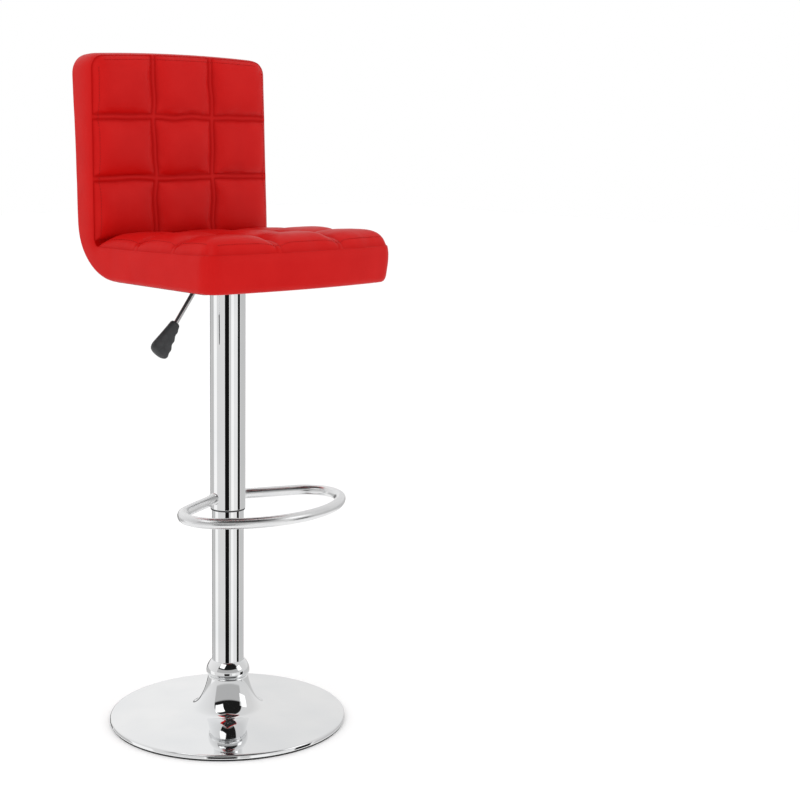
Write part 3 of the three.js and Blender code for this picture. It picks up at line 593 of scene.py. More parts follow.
def lever_grip():
    """A moulded paddle: tapered, thicker along its middle, with finger waves on the inner edge."""
    low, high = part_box("lever_grip")
    half_thickness = (high.y - low.y) / 2
    rings, sides = 64, 48
    top_half, end_half = 8.5 * MM, 18.3 * MM
    top_edge, widest, end_edge, end_reach = 0.07, 0.78, 0.80, 0.20  # shares of the grip's length
    wave_height, wave_count = 1.15 * MM, 4.2
    across = Vector((LEVER_AIM.z, 0, -LEVER_AIM.x))
    points = []
    for i in range(rings):
        share = (1 - math.cos(math.pi * i / (rings - 1))) / 2
        taper = top_half + (end_half - top_half) * min(share / widest, 1) ** 1.15
        end_round = max(1 - (max(share - end_edge, 0) / end_reach) ** 3, 0) ** 0.4
        top_round = math.sqrt(1 - (max(top_edge - share, 0) / top_edge) ** 2)
        half = taper * end_round * (0.62 + 0.38 * top_round)
        thick = half_thickness * (0.80 + 0.20 * share) * min(end_round * 1.15, 1) * (0.6 + 0.4 * top_round)
        middle = LEVER_BEND + LEVER_AIM * (GRIP_START + GRIP_LENGTH * share)
        wave = wave_height * math.sin(share * TAU * wave_count) * (1 if 0.12 < share < 0.86 else 0.25)
        for s in range(sides):
            turn = TAU * s / sides
            x = math.copysign(abs(math.cos(turn)) ** 0.72, math.cos(turn)) * half
            y = math.copysign(abs(math.sin(turn)) ** 0.85, math.sin(turn)) * thick
            x += wave * max(-math.cos(turn), 0) ** 2
            points.append(middle + across * x + Vector((0, y, 0)))
    piece = add_mesh("lever_grip_fine", points, tube_faces(rings, sides))
    place(piece, "release_lever", "black_plastic", "lever_grip")


# ---- Upholstery: the L-shaped form ----

seat_low, seat_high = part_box("seat_cushion")
back_low, back_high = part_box("back_cushion")
HALF = seat_high.x  # at the front corners
BACK_HALF = back_high.x
TOP_HALF = BACK_HALF - 4 * MM
UNDER = seat_low.z
FRONT = seat_low.y
TOP_CROWN = 5 * MM  # the top edge rises by this much in the middle
TOP = back_high.z - TOP_CROWN
FRONT_BOW = 17 * MM  # the front edge falls back by this much at its corners
PLAN_CORNER = 20 * MM
BACK_CORNER = 22 * MM
CORNER_GROWTH = 9 * MM  # corners are this much rounder at the underside and the rear
SEAM_Z = UNDER + 50 * MM
SEAM_RISE = 6 * MM  # the seat's seam plane is this much higher at the front
JOIN_Y = back_low.y + 9 * MM  # the back panel's seam plane, at its foot
FACE_LEAN = 7 * MM
JOIN_FILLET = 8 * MM
BEND_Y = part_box("rear_cover")[0].y
BEND_RADIUS = 91 * MM
RECLINE = math.radians(4.6)
EDGE_ROUND = 8.5 * MM  # of the lower and rear edges
SEAM_PINCH = 2.2 * MM
SIDE_BULGE = 1.5 * MM
BELLY = 3.6 * MM  # the foam swells this much past the board's plane along the edges
BELLY_WIDTH = 17 * MM

STRIP = 4.6 * MM  # half the width of the folded strip along each quilting seam
SQUARE_CELLS = 24
PUFF_SEAT = 9 * MM
PUFF_BACK = 8 * MM
CROWN_SEAT = 17 * MM  # the seat's quilting seams rise above its border by up to this much
CROWN_BACK = 3 * MM
SEAM_DEPTH = 2.2 * MM
SHOULDER = 38 * MM  # width of the rounded rise from the border up to the crown
CROWN_FADE = 150 * MM  # the seat's crown falls off over this much in front of the back
STRIP_RISE = 0.6 * MM
PUFF_REACH = 46 * MM  # a square rises over this much from its seams
SEAM_REACH = 3 * MM
GATHER_SIZE, GATHER_DEPTH, GATHER_REACH = 11 * MM, 1.7 * MM, 9 * MM
FILLING_SIZE, FILLING_DEPTH = 60 * MM, 1.6 * MM
WANDER_SIZE, WANDER_REACH = 42 * MM, 22 * MM
WANDER_ACROSS, WANDER_ALONG = 4 * MM, 3.6 * MM


def eased(count):
    """count + 1 values from 0 to 1, closer together near both ends."""
    t = np.linspace(0, 1, count + 1)
    return t * 0.45 + 0.55 * (1 - np.cos(math.pi * t)) / 2


def quilt_lines(start, end, squares):
    """Places of the grid lines over a row of squares, and each line's distance from a seam.

    Each inner seam is a folded strip: a line on either side and one along its middle.
    """
    size = (end - start) / squares
    places, gaps, middles = [], [], []
    for n in range(squares):
        a = start + n * size + (STRIP if n else 0)
        b = start + (n + 1) * size - (STRIP if n < squares - 1 else 0)
        inner = a + (b - a) * eased(SQUARE_CELLS)
        places += list(inner)
        gaps += list(np.minimum(inner - a, b - inner))
        middles += [False] * len(inner)
        if n < squares - 1:
            places.append(b + STRIP)
            gaps.append(0.0)
            middles.append(True)
    return np.array(places), np.array(gaps), np.array(middles)


def band_layers():
    """Shares of the way from the panel to the rear, and how far each layer lies inside the outline."""
    thickness = SEAM_Z - UNDER
    arc = np.linspace(0, math.pi / 2, 8)
    near = 1 - EDGE_ROUND * (1 - np.sin(arc)) / thickness
    curl = -EDGE_ROUND * (1 - np.cos(arc))
    pinch = np.array([0, 0.02, 0.05, 0.10, 0.18, 0.30, 0.42, 0.54, 0.66])
    bulge = SIDE_BULGE * np.sin(np.pi * np.clip(pinch / 0.8, 0, 1))
    inset = bulge - SEAM_PINCH * np.clip(1 - pinch / 0.30, 0, 1) ** 2.2
    return np.concatenate([pinch, near]), np.concatenate([inset, curl])


def half_width(y, z):
    """The seat narrows from its front corners to the bend, and the back a little more to its top."""
    ahead = np.clip((BEND_Y - y) / (BEND_Y - FRONT - FRONT_BOW), 0, 1.07)
    above = np.clip((z - SEAM_Z) / (TOP - SEAM_Z), 0, 1)
    return BACK_HALF + (HALF - BACK_HALF) * ahead - (BACK_HALF - TOP_HALF) * above


def unit_steps(line):
    """The direction of a line of (y, z) points at each of them."""
    steps = np.gradient(line, axis=0)
    return steps / np.linalg.norm(steps, axis=1)[:, None]


class Form:
    """Grid lines of the L-shaped cushion: u across, v from the front up to the top, w through it."""

    def __init__(self):
        self.across, self.across_gap, self.across_mid = quilt_lines(-BACK_HALF, BACK_HALF, 3)
        seat_end = JOIN_Y - JOIN_FILLET
        seat, seat_gap, seat_mid = quilt_lines(FRONT, seat_end, 3)
        back_start = SEAM_Z + JOIN_FILLET
        back, back_gap, back_mid = quilt_lines(back_start, TOP, 3)
        turn = np.linspace(0, 1, 12)[1:-1]
        s = (seat - FRONT) / (seat_end - FRONT)
        b = (back - back_start) / (TOP - back_start)
        tangent = Vector((math.sin(RECLINE), math.cos(RECLINE)))
        outer_start = (
            BEND_Y + BEND_RADIUS * math.cos(RECLINE),
            UNDER + BEND_RADIUS - BEND_RADIUS * math.sin(RECLINE),
        )
        climb = (TOP - outer_start[1]) * b
        inner_turn = turn * math.pi / 2
        outer_turn = -math.pi / 2 + turn * (math.pi / 2 - RECLINE)
        self.inner = np.concatenate([
            np.stack([seat, SEAM_Z + SEAM_RISE * (1 - s) ** 1.5], 1),
            np.stack([
                seat_end + JOIN_FILLET * np.sin(inner_turn),
                back_start - JOIN_FILLET * np.cos(inner_turn),
            ], 1),
            np.stack([JOIN_Y + FACE_LEAN * b, back], 1),
        ])
        self.outer = np.concatenate([
            np.stack([FRONT + (BEND_Y - FRONT) * s, np.full_like(s, UNDER)], 1),
            np.stack([
                BEND_Y + BEND_RADIUS * np.cos(outer_turn),
                UNDER + BEND_RADIUS + BEND_RADIUS * np.sin(outer_turn),
            ], 1),
            np.stack([outer_start[0] + climb * tangent.x / tangent.y, outer_start[1] + climb], 1),
        ])
        outer_steps = unit_steps(self.outer)
        self.outer_normals = np.stack([outer_steps[:, 1], -outer_steps[:, 0]], 1)
        zero, fold = np.zeros_like(turn), np.zeros(len(turn), bool)
        self.front_share = np.concatenate([1 - s, zero, np.zeros_like(b)])
        self.top_share = np.concatenate([np.zeros_like(s), zero, b])
        self.along_gap = np.concatenate([seat_gap, zero, back_gap])
        self.along_mid = np.concatenate([seat_mid, fold, back_mid])
        self.is_turn = np.concatenate([np.zeros(len(s), bool), ~fold, np.zeros(len(b), bool)])
        self.seat_rows = len(seat)
        self.back_row = len(seat) + len(turn)
        self.layers, self.insets = band_layers()

    def flat(self, i, j, k):
        """Places before puffing and shaping, for arrays of line numbers across, along and through."""
        inset = self.insets[k]
        share = self.layers[k][:, None]
        yz = self.inner[j] * (1 - share) + self.outer[j] * share
        half = half_width(yz[:, 0], yz[:, 1]) + inset
        y = yz[:, 0] - inset * self.front_share[j] ** 6 + inset * self.top_share[j] * math.sin(RECLINE)
        z = yz[:, 1] + inset * self.top_share[j] ** 6 * math.cos(RECLINE)
        return np.stack([self.across[i] / BACK_HALF * half, y, z], 1)


def shape_corners(points, depth):
    """Bows the front edge, crowns the top, and rounds the corners of both outlines.

    Depth runs from 0 on the quilted panel to 1 on the underside and the rear.
    """
    x, y, z = points.T
    side = np.clip(np.abs(x) / half_width(y, z), 0, 1)
    front = np.clip(y / FRONT, 0, 1)
    y = y + FRONT_BOW * side ** 2 * front ** 1.5
    above = np.clip((z - SEAM_Z) / (TOP - SEAM_Z), 0, 1)
    z = z + TOP_CROWN * (1 - side ** 2) * above ** 3
    growth = CORNER_GROWTH * depth ** 2
    x, y = round_corner(x, y, HALF, FRONT + FRONT_BOW, PLAN_CORNER + growth)
    x, back = round_corner(x, -z, TOP_HALF, -TOP, BACK_CORNER + growth)
    return np.stack([x, y, -back], 1)


def round_corner(x, y, half, edge, radius):
    """Draws the square corners at (+-half, edge) in to an arc; points inside follow smoothly."""
    a = (np.abs(x) - (half - radius)) / radius
    b = ((edge + radius) - y) / radius
    inside = (a > 0) & (b > 0)
    a, b = np.where(inside, a, 1), np.where(inside, b, 1)
    pull = np.maximum(a, b) / np.hypot(a, b)
    new_x = np.sign(x) * ((half - radius) + a * pull * radius)
    new_y = (edge + radius) - b * pull * radius
    return np.where(inside, new_x, x), np.where(inside, new_y, y)


def ripple(spot, size, shift):
    """Smooth noise from -1 to 1 whose bumps have the given size; each use has a shift of its own."""
    return noise.noise(Vector(spot) / size + Vector((shift, shift * 1.7, -shift)))


def crown(form, i, j):
    """How far the quilting's seams stand above the border: a steep shoulder, then nearly level."""
    on_seat = j < form.seat_rows
    from_side = BACK_HALF - abs(form.across[i])
    from_end = form.inner[j][0] - FRONT if on_seat else TOP - form.inner[j][1]
    near = sum((1 - min(gap / SHOULDER, 1)) ** 4 for gap in (from_side, from_end))
    shoulder = math.sqrt(max(1 - near ** 0.5, 0))
    if on_seat:
        away = form.inner[form.seat_rows - 1][0] - form.inner[j][0]
        return CROWN_SEAT * shoulder * (0.45 + 0.55 * min(away / CROWN_FADE, 1) ** 0.6)
    return CROWN_BACK * shoulder


def panel_height(form, i, j):
    """How far the quilted panel stands out of its border's plane at one grid point."""
    if form.is_turn[j]:
        return 0.0
    puff = PUFF_SEAT if j < form.seat_rows else PUFF_BACK
    base = crown(form, i, j)
    if form.across_mid[i] or form.along_mid[j]:
        gap = form.along_gap[j] if form.across_mid[i] else form.across_gap[i]
        crossing = form.across_mid[i] and form.along_mid[j]
        return base + (-SEAM_DEPTH if crossing else STRIP_RISE * min(gap / (20 * MM), 1))
    gaps = (form.across_gap[i], form.along_gap[j])
    rise = 1.0
    for gap in gaps:
        rise *= 1 - (1 - min(gap / PUFF_REACH, 1)) ** 3.2
    return base + puff * rise - SEAM_DEPTH * math.exp(-min(gaps) / SEAM_REACH)


def puckers(form, i, j, spot):
    """Gathers that run away from the seams, and the slow unevenness of the filling."""
    near = min(form.across_gap[i], form.along_gap[j])
    gather = math.exp(-near / GATHER_REACH) * min(near / (2 * MM), 1)
    fine = ripple(spot, GATHER_SIZE, 3.0) * GATHER_DEPTH * gather
    slow = ripple(spot, FILLING_SIZE, 8.0) * FILLING_DEPTH * min(near / (20 * MM), 1)
    return fine + slow


def seam_wander(form, j, spot):
    """Sideways drift of the quilting lines across and along the panel, none at its edges."""
    dx = ripple((0, spot[1], spot[2]), WANDER_SIZE, 1.0 + 4 * (spot[0] > 0)) * WANDER_ACROSS
    dv = ripple((spot[0], 0, 0), WANDER_SIZE, 11.0 + int(form.inner[j][1] * 20)) * WANDER_ALONG
    calm_x = math.exp(-((abs(spot[0]) - BACK_HALF / 3) / WANDER_REACH) ** 2)
    edge = min(form.front_share[j] * 6, 1) if j < form.seat_rows else min((1 - form.top_share[j]) * 6, 1)
    from_side = max(1 - abs(spot[0]) / HALF, 0)
    calm_v = math.exp(-(form.along_gap[j] / WANDER_REACH) ** 2) * from_side ** 0.3
    return dx * calm_x * edge, dv * calm_v * edge * (0 if form.is_turn[j] else 1)


def panel_points(form):
    """The quilted panel before it settles, as a grid of rows along v, and which points are sewn."""
    columns, rows = len(form.across), len(form.inner)
    i, j = np.tile(np.arange(columns), rows), np.repeat(np.arange(rows), columns)
    points = form.flat(i, j, np.zeros(columns * rows, int))
    steps = unit_steps(form.inner)
    normals = np.stack([-steps[:, 1], steps[:, 0]], 1)
    held = np.zeros(columns * rows, bool)
    for n, (a, b) in enumerate(zip(i, j)):
        limit = junction_limit(form, b)
        height = min(panel_height(form, a, b) + puckers(form, a, b, points[n]), limit)
        dx, dv = seam_wander(form, b, points[n])
        points[n] += (dx, *(normals[b] * height + steps[b] * dv))
        sewn_across = form.across_gap[a] == 0 and not form.across_mid[a]
        sewn_along = form.along_gap[b] == 0 and not form.along_mid[b]
        held[n] = sewn_across or sewn_along or limit < 7 * MM
    return shape_corners(points, np.zeros(len(points))), held


def junction_limit(form, j):
    """The squares on either side of the seat's inner corner leave each other room."""
    if form.is_turn[j]:
        return 0.0
    if j < form.seat_rows:
        away = form.inner[form.seat_rows - 1][0] - form.inner[j][0]
    else:
        away = form.inner[j][1] - form.inner[form.back_row][1]
    return away * 0.85 + 0.5 * MM


CLOTH = {
    "quality": 5,
    "mass": 0.3,
    "tension_stiffness": 12,
    "compression_stiffness": 12,
    "shear_stiffness": 6,
    "bending_stiffness": 1.5,
    "vertex_group_mass": "sewn",
    "use_pressure": True,
    "uniform_pressure_force": 3.5,
}
SETTLE_FRAMES = 20
MOST_MOVE = 9 * MM


def settle(points, held, rows, columns):
    """Lets the panel's covers swell against their stitching, as cloth under pressure."""
    sheet = add_mesh("panel_at_rest", points, grid_faces(rows, columns))
    group = sheet.vertex_groups.new(name="sewn")
    group.add([int(n) for n in np.flatnonzero(held)], 1.0, "REPLACE")
    cloth = sheet.modifiers.new("cloth", "CLOTH").settings
    for setting, value in CLOTH.items():
        setattr(cloth, setting, value)
    cloth.effector_weights.gravity = 0
    scene = bpy.context.scene
    for step in range(1, SETTLE_FRAMES + 1):
        scene.frame_set(step)
    settled = sheet.evaluated_get(bpy.context.evaluated_depsgraph_get())
    new = np.array([v.co for v in settled.data.vertices], float)
    bpy.data.objects.remove(sheet)
    scene.frame_set(1)
    move = new - points
    far = np.linalg.norm(move, axis=1)
    share = np.minimum(1, MOST_MOVE / np.maximum(far, 1e-9))
    return points + move * share[:, None]


def belly(form, lines):
    """The swell along the edges of the underside, the bend and the foot of the rear."""
    i, j, k = lines.T
    side_gap = BACK_HALF - np.abs(form.across[i])
    front_gap = np.where(j < form.seat_rows, form.inner[j][:, 0] - FRONT, HALF)
    near = np.exp(-(np.minimum(side_gap, front_gap) / BELLY_WIDTH) ** 2)
    fade = 1 - np.clip(form.top_share[j] / 0.5, 0, 1)
    amount = BELLY * near * form.layers[k] ** 3 * fade
    return np.column_stack([np.zeros(len(lines)), form.outer_normals[j] * amount[:, None]])


def form_shell(form, panel):
    """The whole closed cover as (points, faces, seam weight of the painted shade): panel, four bands and
    the rear.
    """
    columns, rows, depth = len(form.across), len(form.inner), len(form.layers)
    ids, lines = {}, []
    for k in range(depth):
        for j in range(rows):
            for i in range(columns):
                on_rim = i in (0, columns - 1) or j in (0, rows - 1)
                if k in (0, depth - 1) or on_rim:
                    ids[i, j, k] = len(lines)
                    lines.append((i, j, k))
    lines = np.array(lines)
    points = shape_corners(form.flat(*lines.T) + belly(form, lines), form.layers[lines[:, 2]])
    front = lines[:, 2] == 0
    points[front] = panel[lines[front, 1] * columns + lines[front, 0]]
    faces = []

    def patch(at, first, second):
        for a in range(first - 1):
            for b in range(second - 1):
                corners = (at(a, b), at(a + 1, b), at(a + 1, b + 1), at(a, b + 1))
                faces.append(tuple(ids[c] for c in corners))

    last = (columns - 1, rows - 1, depth - 1)
    patch(lambda a, b: (a, b, 0), columns, rows)
    patch(lambda a, b: (b, a, last[2]), rows, columns)
    patch(lambda a, b: (0, a, b), rows, depth)
    patch(lambda a, b: (last[0], b, a), depth, rows)
    patch(lambda a, b: (b, 0, a), depth, columns)
    patch(lambda a, b: (a, last[1], b), columns, depth)
    return points, faces, seam_shade_weights(form, lines)


def seam_shade_weights(form, lines):
    """How deep in a seam each point lies, from 0 to 1: the weight of the shade painted into the leather
    there.
    """
    i, j, k = lines.T
    gap = np.minimum(form.across_gap[i], form.along_gap[j])
    strip = form.across_mid[i] | form.along_mid[j]
    panel = np.exp(-(gap / (1.8 * MM)) ** 2) * np.where(strip, 0.12, 0.7)
    panel = panel * np.where(j < form.seat_rows, 0.5, 1.0)
    # Painted shade: the crease where seat meets back takes it in full, and the bands take it along their
    # edge seam.
    panel = np.where(form.is_turn[j], 1.0, panel)
    band = np.exp(-form.layers[k] / 0.03) * np.where(j < form.seat_rows, 0.35, 0.8)
    return np.where(k == 0, panel, np.where(k == len(form.layers) - 1, 0.0, band))


def drape_bands(points):
    """Faint unevenness over the bands, so that they read as leather over foam."""
    for point in points:
        lift = ripple(point, 70 * MM, 21.0) * 1.3 * MM
        point[0] += math.copysign(lift, point[0]) * min(abs(point[0]) / HALF, 1) ** 8


def quilted_cover():
    form = Form()
    columns, rows = len(form.across), len(form.inner)
    panel, held = panel_points(form)
    panel = settle(panel, held, rows, columns)
    points, faces, seam = form_shell(form, panel)
    drape_bands(points)
    cover = add_mesh("quilted_cover", points, faces)
    # The seam weight paints shade into the leather: darker red and no specular down in the seams.
    attribute = cover.data.attributes.new("seam", "FLOAT", "POINT")
    attribute.data.foreach_set("value", seam.astype(np.float32))
    cover.modifiers.new("fine", "SUBSURF").levels = 1
    flatten_modifiers(cover)
    place(cover, "seat_lift", "red_leather", "seat_cushion", "back_cushion")
    return form, panel.reshape(rows, columns, 3)


def flatten_modifiers(piece):
    shown = piece.evaluated_get(bpy.context.evaluated_depsgraph_get())
    mesh = bpy.data.meshes.new_from_object(shown)
    piece.modifiers.clear()
    piece.data = mesh
    mesh.shade_smooth()


def rear_panel(form):
    """The plain leather panel over the back and round the bend, turned in along its edges."""
    rows = [j for j in range(form.seat_rows - 1, len(form.inner)) if form.top_share[j] < 0.985]
    across = np.linspace(-1, 1, 60)
    layers = []
    for depth in (1.3 * MM, -0.26 * MM):
        points = []
        for n, j in enumerate(rows):
            edge_v = min(n, len(rows) - 1 - n) / 3
            half = float(half_width(*form.outer[j])) - EDGE_ROUND - 1.5 * MM
            for u in across:
                edge = min((1 - abs(u)) * 20, edge_v, 1)
                lift = depth * (1 - (1 - edge) ** 3)
                points.append((u * half, *(form.outer[j] + form.outer_normals[j] * lift)))
        layers.append(shape_corners(np.array(points), np.ones(len(points))))
    faces = thin_sheet_faces(len(rows), len(across))
    piece = add_mesh("rear_leather_panel", np.concatenate(layers), faces)
    place(piece, "seat_lift", "red_leather", "rear_cover")


def dust_cover():
    """Black non-woven cloth under the seat, a little slack between its staples."""
    low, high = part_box("dust_cover")
    plate_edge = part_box("mounting_plate")[1].x + 4 * MM
    pressed, least = 0.12 * MM, 0.2 * MM  # how low the cloth lies under the plate, and elsewhere
    columns, rows = 90, 66
    points = []
    for thickness in (0.0, 0.5 * MM):
        for b, y in enumerate(np.linspace(low.y, high.y, rows)):
            for a, x in enumerate(np.linspace(low.x, high.x, columns)):
                edge = min(a, columns - 1 - a, b, rows - 1 - b) / 4
                sag = min(edge, 1) * (0.35 * MM + 0.5 * MM * ripple((x, y, 0), 24 * MM, 5.0))
                drop = pressed if max(abs(x), abs(y)) < plate_edge else max(sag, least)
                points.append((x, y, low.z + thickness - drop))
    faces = thin_sheet_faces(rows, columns)
    piece = add_mesh("dust_cover_cloth", plan_trim(np.array(points), high.x), faces)
    place(piece, "seat_lift", "non_woven", "dust_cover")


def plan_trim(points, half):
    """The cloth follows the seat's bowed front edge, narrowing sides and rounded corners."""
    x, y, z = points.T
    inset = HALF - half
    side = np.clip(np.abs(x) / half, 0, 1)
    front = np.clip(y / FRONT, 0, 1)
    wide = half_width(y, z) - inset
    x = x * wide / half
    y = y + FRONT_BOW * side ** 2 * front ** 1.5
    edge = FRONT + FRONT_BOW + inset
    x, y = round_corner(x, y, half, edge, PLAN_CORNER + CORNER_GROWTH - inset)
    trimmed = np.stack([x, y, z], 1)
    trimmed[:, 2] -= swell_at(trimmed)
    return trimmed


def swell_at(points):
    """How far the seat's underside hangs down along its edges, at places on the dust cover."""
    x, y, z = points.T
    side_gap = half_width(y, z) - EDGE_ROUND - np.abs(x)
    front_gap = y - FRONT - FRONT_BOW * np.clip(np.abs(x) / HALF, 0, 1) ** 2
    near = np.exp(-(np.clip(np.minimum(side_gap, front_gap), 0, None) / BELLY_WIDTH) ** 2)
    return (BELLY + 0.7 * MM) * near


def capsule(points, faces, centre, along, normal, length, radius):
    """Adds one rounded stitch to the lists of points and faces."""
    side = along.cross(normal).normalized()
    rings = ((-0.5, 0.25), (-0.42, 0.8), (-0.2, 1.0), (0.2, 1.0), (0.42, 0.8), (0.5, 0.25))
    sides = 6
    faces += tube_faces(len(rings), sides, len(points))
    for share, width in rings:
        for s in range(sides):
            turn = TAU * s / sides
            out = side * math.cos(turn) + normal * math.sin(turn)
            points.append(centre + along * share * length + out * radius * width)


STITCH_PITCH, STITCH_LENGTH, STITCH_RADIUS = 4.6 * MM, 3.1 * MM, 0.38 * MM
STITCH_LIFT = 0.15 * MM


def stitch_line(points, faces, line, normals):
    """Stitches laid end to end along a line of points, with their surface normals."""
    along = distances([Vector(p) for p in line])

    def between(values, at):
        return Vector([np.interp(at, along, values[:, c]) for c in range(3)])

    for at in np.arange(STITCH_PITCH, along[-1] - STITCH_PITCH, STITCH_PITCH):
        here = between(line, at)
        direction = (between(line, at + 1 * MM) - here).normalized()
        normal = between(normals, at).normalized()
        centre = here + normal * STITCH_LIFT
        capsule(points, faces, centre, direction, normal, STITCH_LENGTH, STITCH_RADIUS)


def edge_stitching(panel):
    """A row of thread just inside the panel's edge, where it is sewn to the bands."""
    normal = np.cross(np.gradient(panel, axis=1), np.gradient(panel, axis=0))
    normal /= np.linalg.norm(normal, axis=2)[:, :, None]
    inset = 3  # lines from the edge
    ends = slice(5, -5)
    last = -1 - inset
    points, faces = [], []
    for run in ((ends, inset), (ends, last), (inset, ends), (last, ends)):
        stitch_line(points, faces, panel[run], normal[run])
    place(add_mesh("edge_stitching", points, faces), "seat_lift", "red_leather", material=THREAD)


def staples():
    """Wire staples around the dust cover's edge."""
    low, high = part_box("dust_cover")
    inset = 7 * MM
    level = low.z - 0.25 * MM
    x0, x1, y0, y1 = low.x + inset, high.x - inset, low.y + inset, high.y - inset
    places = [(x, y1, (1, 0, 0)) for x in np.linspace(x0 + 20 * MM, x1 - 20 * MM, 9)]
    places += [(x, y0, (1, 0, 0)) for x in np.linspace(x0 + 34 * MM, x1 - 34 * MM, 8)]
    for side in (x0, x1):
        places += [(side, y, (0, 1, 0)) for y in np.linspace(y0 + 40 * MM, y1 - 20 * MM, 7)]
    centres = plan_trim(np.array([(x, y, level) for x, y, _ in places]), high.x)
    down = Vector((0, 0, -1))
    points, faces = [], []
    for centre, (_, _, along) in zip(centres, places):
        capsule(points, faces, Vector(centre), Vector(along), down, 10 * MM, 0.45 * MM)
    place(add_mesh("dust_cover_staples", points, faces), "seat_lift", "steel")


# ---- Stage ----

CAMERA_PLACE = Vector((-1.6817, -2.0402, 0.9974))
CAMERA_HEADING = math.radians(45.567)  # from +Y towards +X
CAMERA_DROP = math.radians(9.755)
CAMERA_ROLL = math.radians(1.0055)
CAMERA_LENS = 73.925


def camera():
    data = bpy.data.cameras.new("camera")
    data.lens = CAMERA_LENS
    data.sensor_width = 36
    data.clip_end = 50
    eye = add_object("camera", data)
    heading = Matrix.Rotation(-CAMERA_HEADING, 4, "Z")
    level = Matrix.Rotation(math.pi / 2 - CAMERA_DROP, 4, "X")
    roll = Matrix.Rotation(CAMERA_ROLL, 4, "Z")
    eye.matrix_world = Matrix.Translation(CAMERA_PLACE) @ heading @ level @ roll
    bpy.context.scene.camera = eye


def floor():
    """A pale floor that lies flat and doesn't show in the chrome."""
    size = 12
    corners = [(-size, -size, 0), (size, -size, 0), (size, size, 0), (-size, size, 0)]
    sheet = add_mesh("floor", corners, [(0, 1, 2, 3)])
    look = Shader("pale_floor", Roughness=0.8, Specular_IOR_Level=0.1, Emission_Strength=0.045)
    look.colour(look.noise(3, 2), (0.3, (0.985, 0.985, 0.985)), (0.7, (0.995, 0.995, 0.995)))
    sheet.data.materials.append(look.material)
    sheet.visible_glossy = False


# What the chrome sees around the stool: (start, end, brightness), in degrees round from the camera.
CARDS = [
    (-178, -150, 0.10),
    (-146, -105, 0.55),
    (-76, -22, 0.74),
    (-20, 9, 0.006),
    (11, 21, 0.62),
    (40, 66, 0.84),
    (67, 87, 0.006),
    (90, 176, 0.58),
]
CARD_TOP, CARD_FOOT = -0.03, -0.42  # sines of the angles above the horizon where the cards end
# Brightness above the horizon, by the same angles.
SKY = [(-150, 0.90), (-70, 0.74), (60, 0.70), (110, 0.70), (150, 0.80)]
OVERHEAD = 62  # half the width in degrees of the card above the camera
OVERHEAD_GREY = (0.10, 0.50, 0.46)  # sines of the angles where its grey part ends, and brightness
OVERHEAD_DARK = (0.50, 0.97, 0.012)  # the same for its dark part
CAMERA_SIDE = math.degrees(math.atan2(CAMERA_PLACE.y, CAMERA_PLACE.x))


class Sky(Nodes):
    """The world around the stool, with each direction's height and turn as shares from 0 to 1."""

    def __init__(self, name):
        world = bpy.data.worlds.new(name)
        world.use_nodes = True
        bpy.context.scene.world = world
        super().__init__(world.node_tree)
        self.background = self.tree.nodes["Background"]
        parts = self.node("ShaderNodeSeparateXYZ")
        self.link(self.node("ShaderNodeTexCoord").outputs["Generated"], parts.inputs[0])
        self.height = self.maths("MULTIPLY_ADD", parts.outputs["Z"], 0.5, 0.5)
        angle = self.maths("ARCTAN2", parts.outputs["Y"], parts.outputs["X"])
        turned = self.maths("ADD", angle, math.pi - math.radians(CAMERA_SIDE))
        self.around = self.maths("FRACT", self.maths("DIVIDE", turned, TAU))

    def maths(self, operation, *values):
        made = self.node("ShaderNodeMath", operation=operation)
        for value, socket in zip(values, made.inputs):
            if isinstance(value, bpy.types.NodeSocket):
                self.link(value, socket)
            else:
                socket.default_value = value
        return made.outputs[0]


def turn_share(degrees):
    return (degrees + 180) / 360


def height_share(sine):
    return (sine + 1) / 2


def band(start, end, soft):
    """Stops of a mask that is 1 between two places."""
    return [(0.0, 0.0), (start - soft, 0.0), (start + soft, 1.0), (end - soft, 1.0), (end + soft, 0.0)]


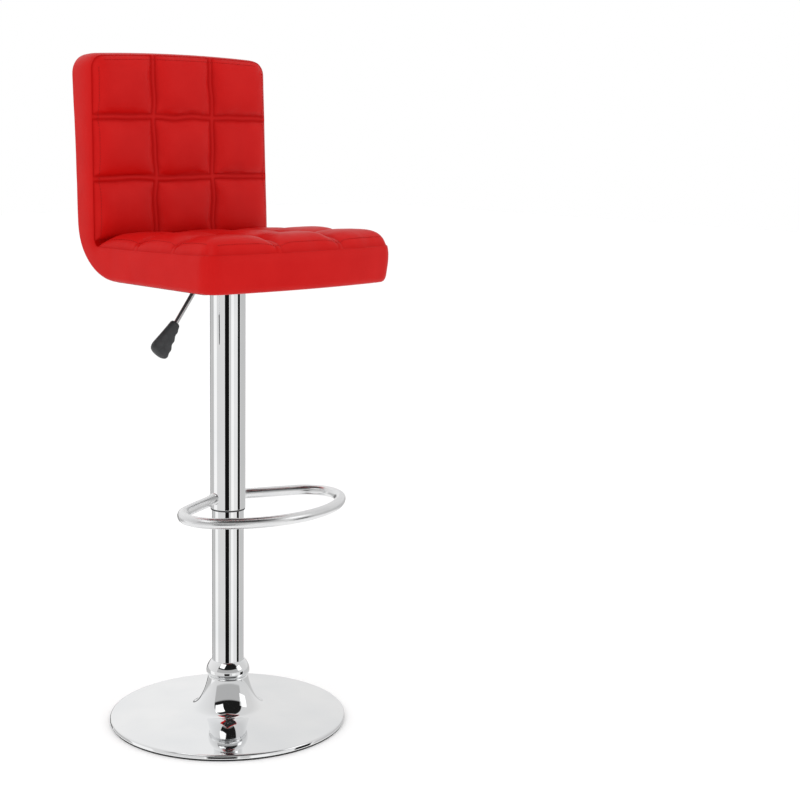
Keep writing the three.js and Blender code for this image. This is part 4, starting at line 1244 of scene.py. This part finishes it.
def studio_world():
    """A white studio with dark and grey cards standing around the stool, and a dark one overhead."""
    sky = Sky("studio")
    soft = 1.0 / 360
    stops = []
    for start, end, level in CARDS:
        a, b = turn_share(start), turn_share(end)
        stops += [(a - soft, 1.0), (a + soft, level), (b - soft, level), (b + soft, 1.0)]
    cards = sky.ramp(sky.around, stops)
    card_band = sky.ramp(sky.height, band(height_share(CARD_FOOT), height_share(CARD_TOP), 0.015))
    ceiling = sky.ramp(sky.around, [(turn_share(at), level) for at, level in SKY])
    above = sky.maths("GREATER_THAN", sky.height, height_share(CARD_TOP))
    open_sky = sky.mix(card_band, sky.mix(above, 1.0, ceiling), cards)
    wide = sky.ramp(sky.around, band(turn_share(-OVERHEAD), turn_share(OVERHEAD), 0.004))
    seen = open_sky
    for foot, top, level in (OVERHEAD_GREY, OVERHEAD_DARK):
        high = sky.ramp(sky.height, band(height_share(foot), height_share(top), 0.01))
        seen = sky.mix(sky.maths("MULTIPLY", wide, high), seen, level)
    glossy = sky.node("ShaderNodeLightPath").outputs["Is Glossy Ray"]
    sky.link(sky.mix(glossy, 1.0, seen), sky.background.inputs["Color"])
    sky.background.inputs["Strength"].default_value = 1.0


def lights():
    """Two soft lamps aimed at the seat; the white world gives most of the light."""
    seat = Vector((0, 0, 0.8))
    for name, place, power in (("key", (-2.2, -0.4, 2.8), 10), ("fill", (1.6, -2.8, 1.8), 5)):
        data = bpy.data.lights.new(name, "AREA")
        data.size = 1.6
        data.energy = power
        lamp = add_object(name, data)
        lamp.location = place
        lamp.rotation_euler = (seat - Vector(place)).to_track_quat("-Z", "Y").to_euler()


# ---- Everything in place ----

camera()
finish_cad_nodes()
base_shell()
floor_ring()
collar_ring()
column_tube()
sleeve_tube()
sleeve_guide_ring()
footrest_ring()
lever_rod()
lever_boss()
lever_grip()
cushion_form, quilted_panel = quilted_cover()
rear_panel(cushion_form)
dust_cover()
edge_stitching(quilted_panel)
staples()
floor()
studio_world()
lights()

bpy.context.scene.view_settings.view_transform = "Standard"
bpy.context.view_layer.update()
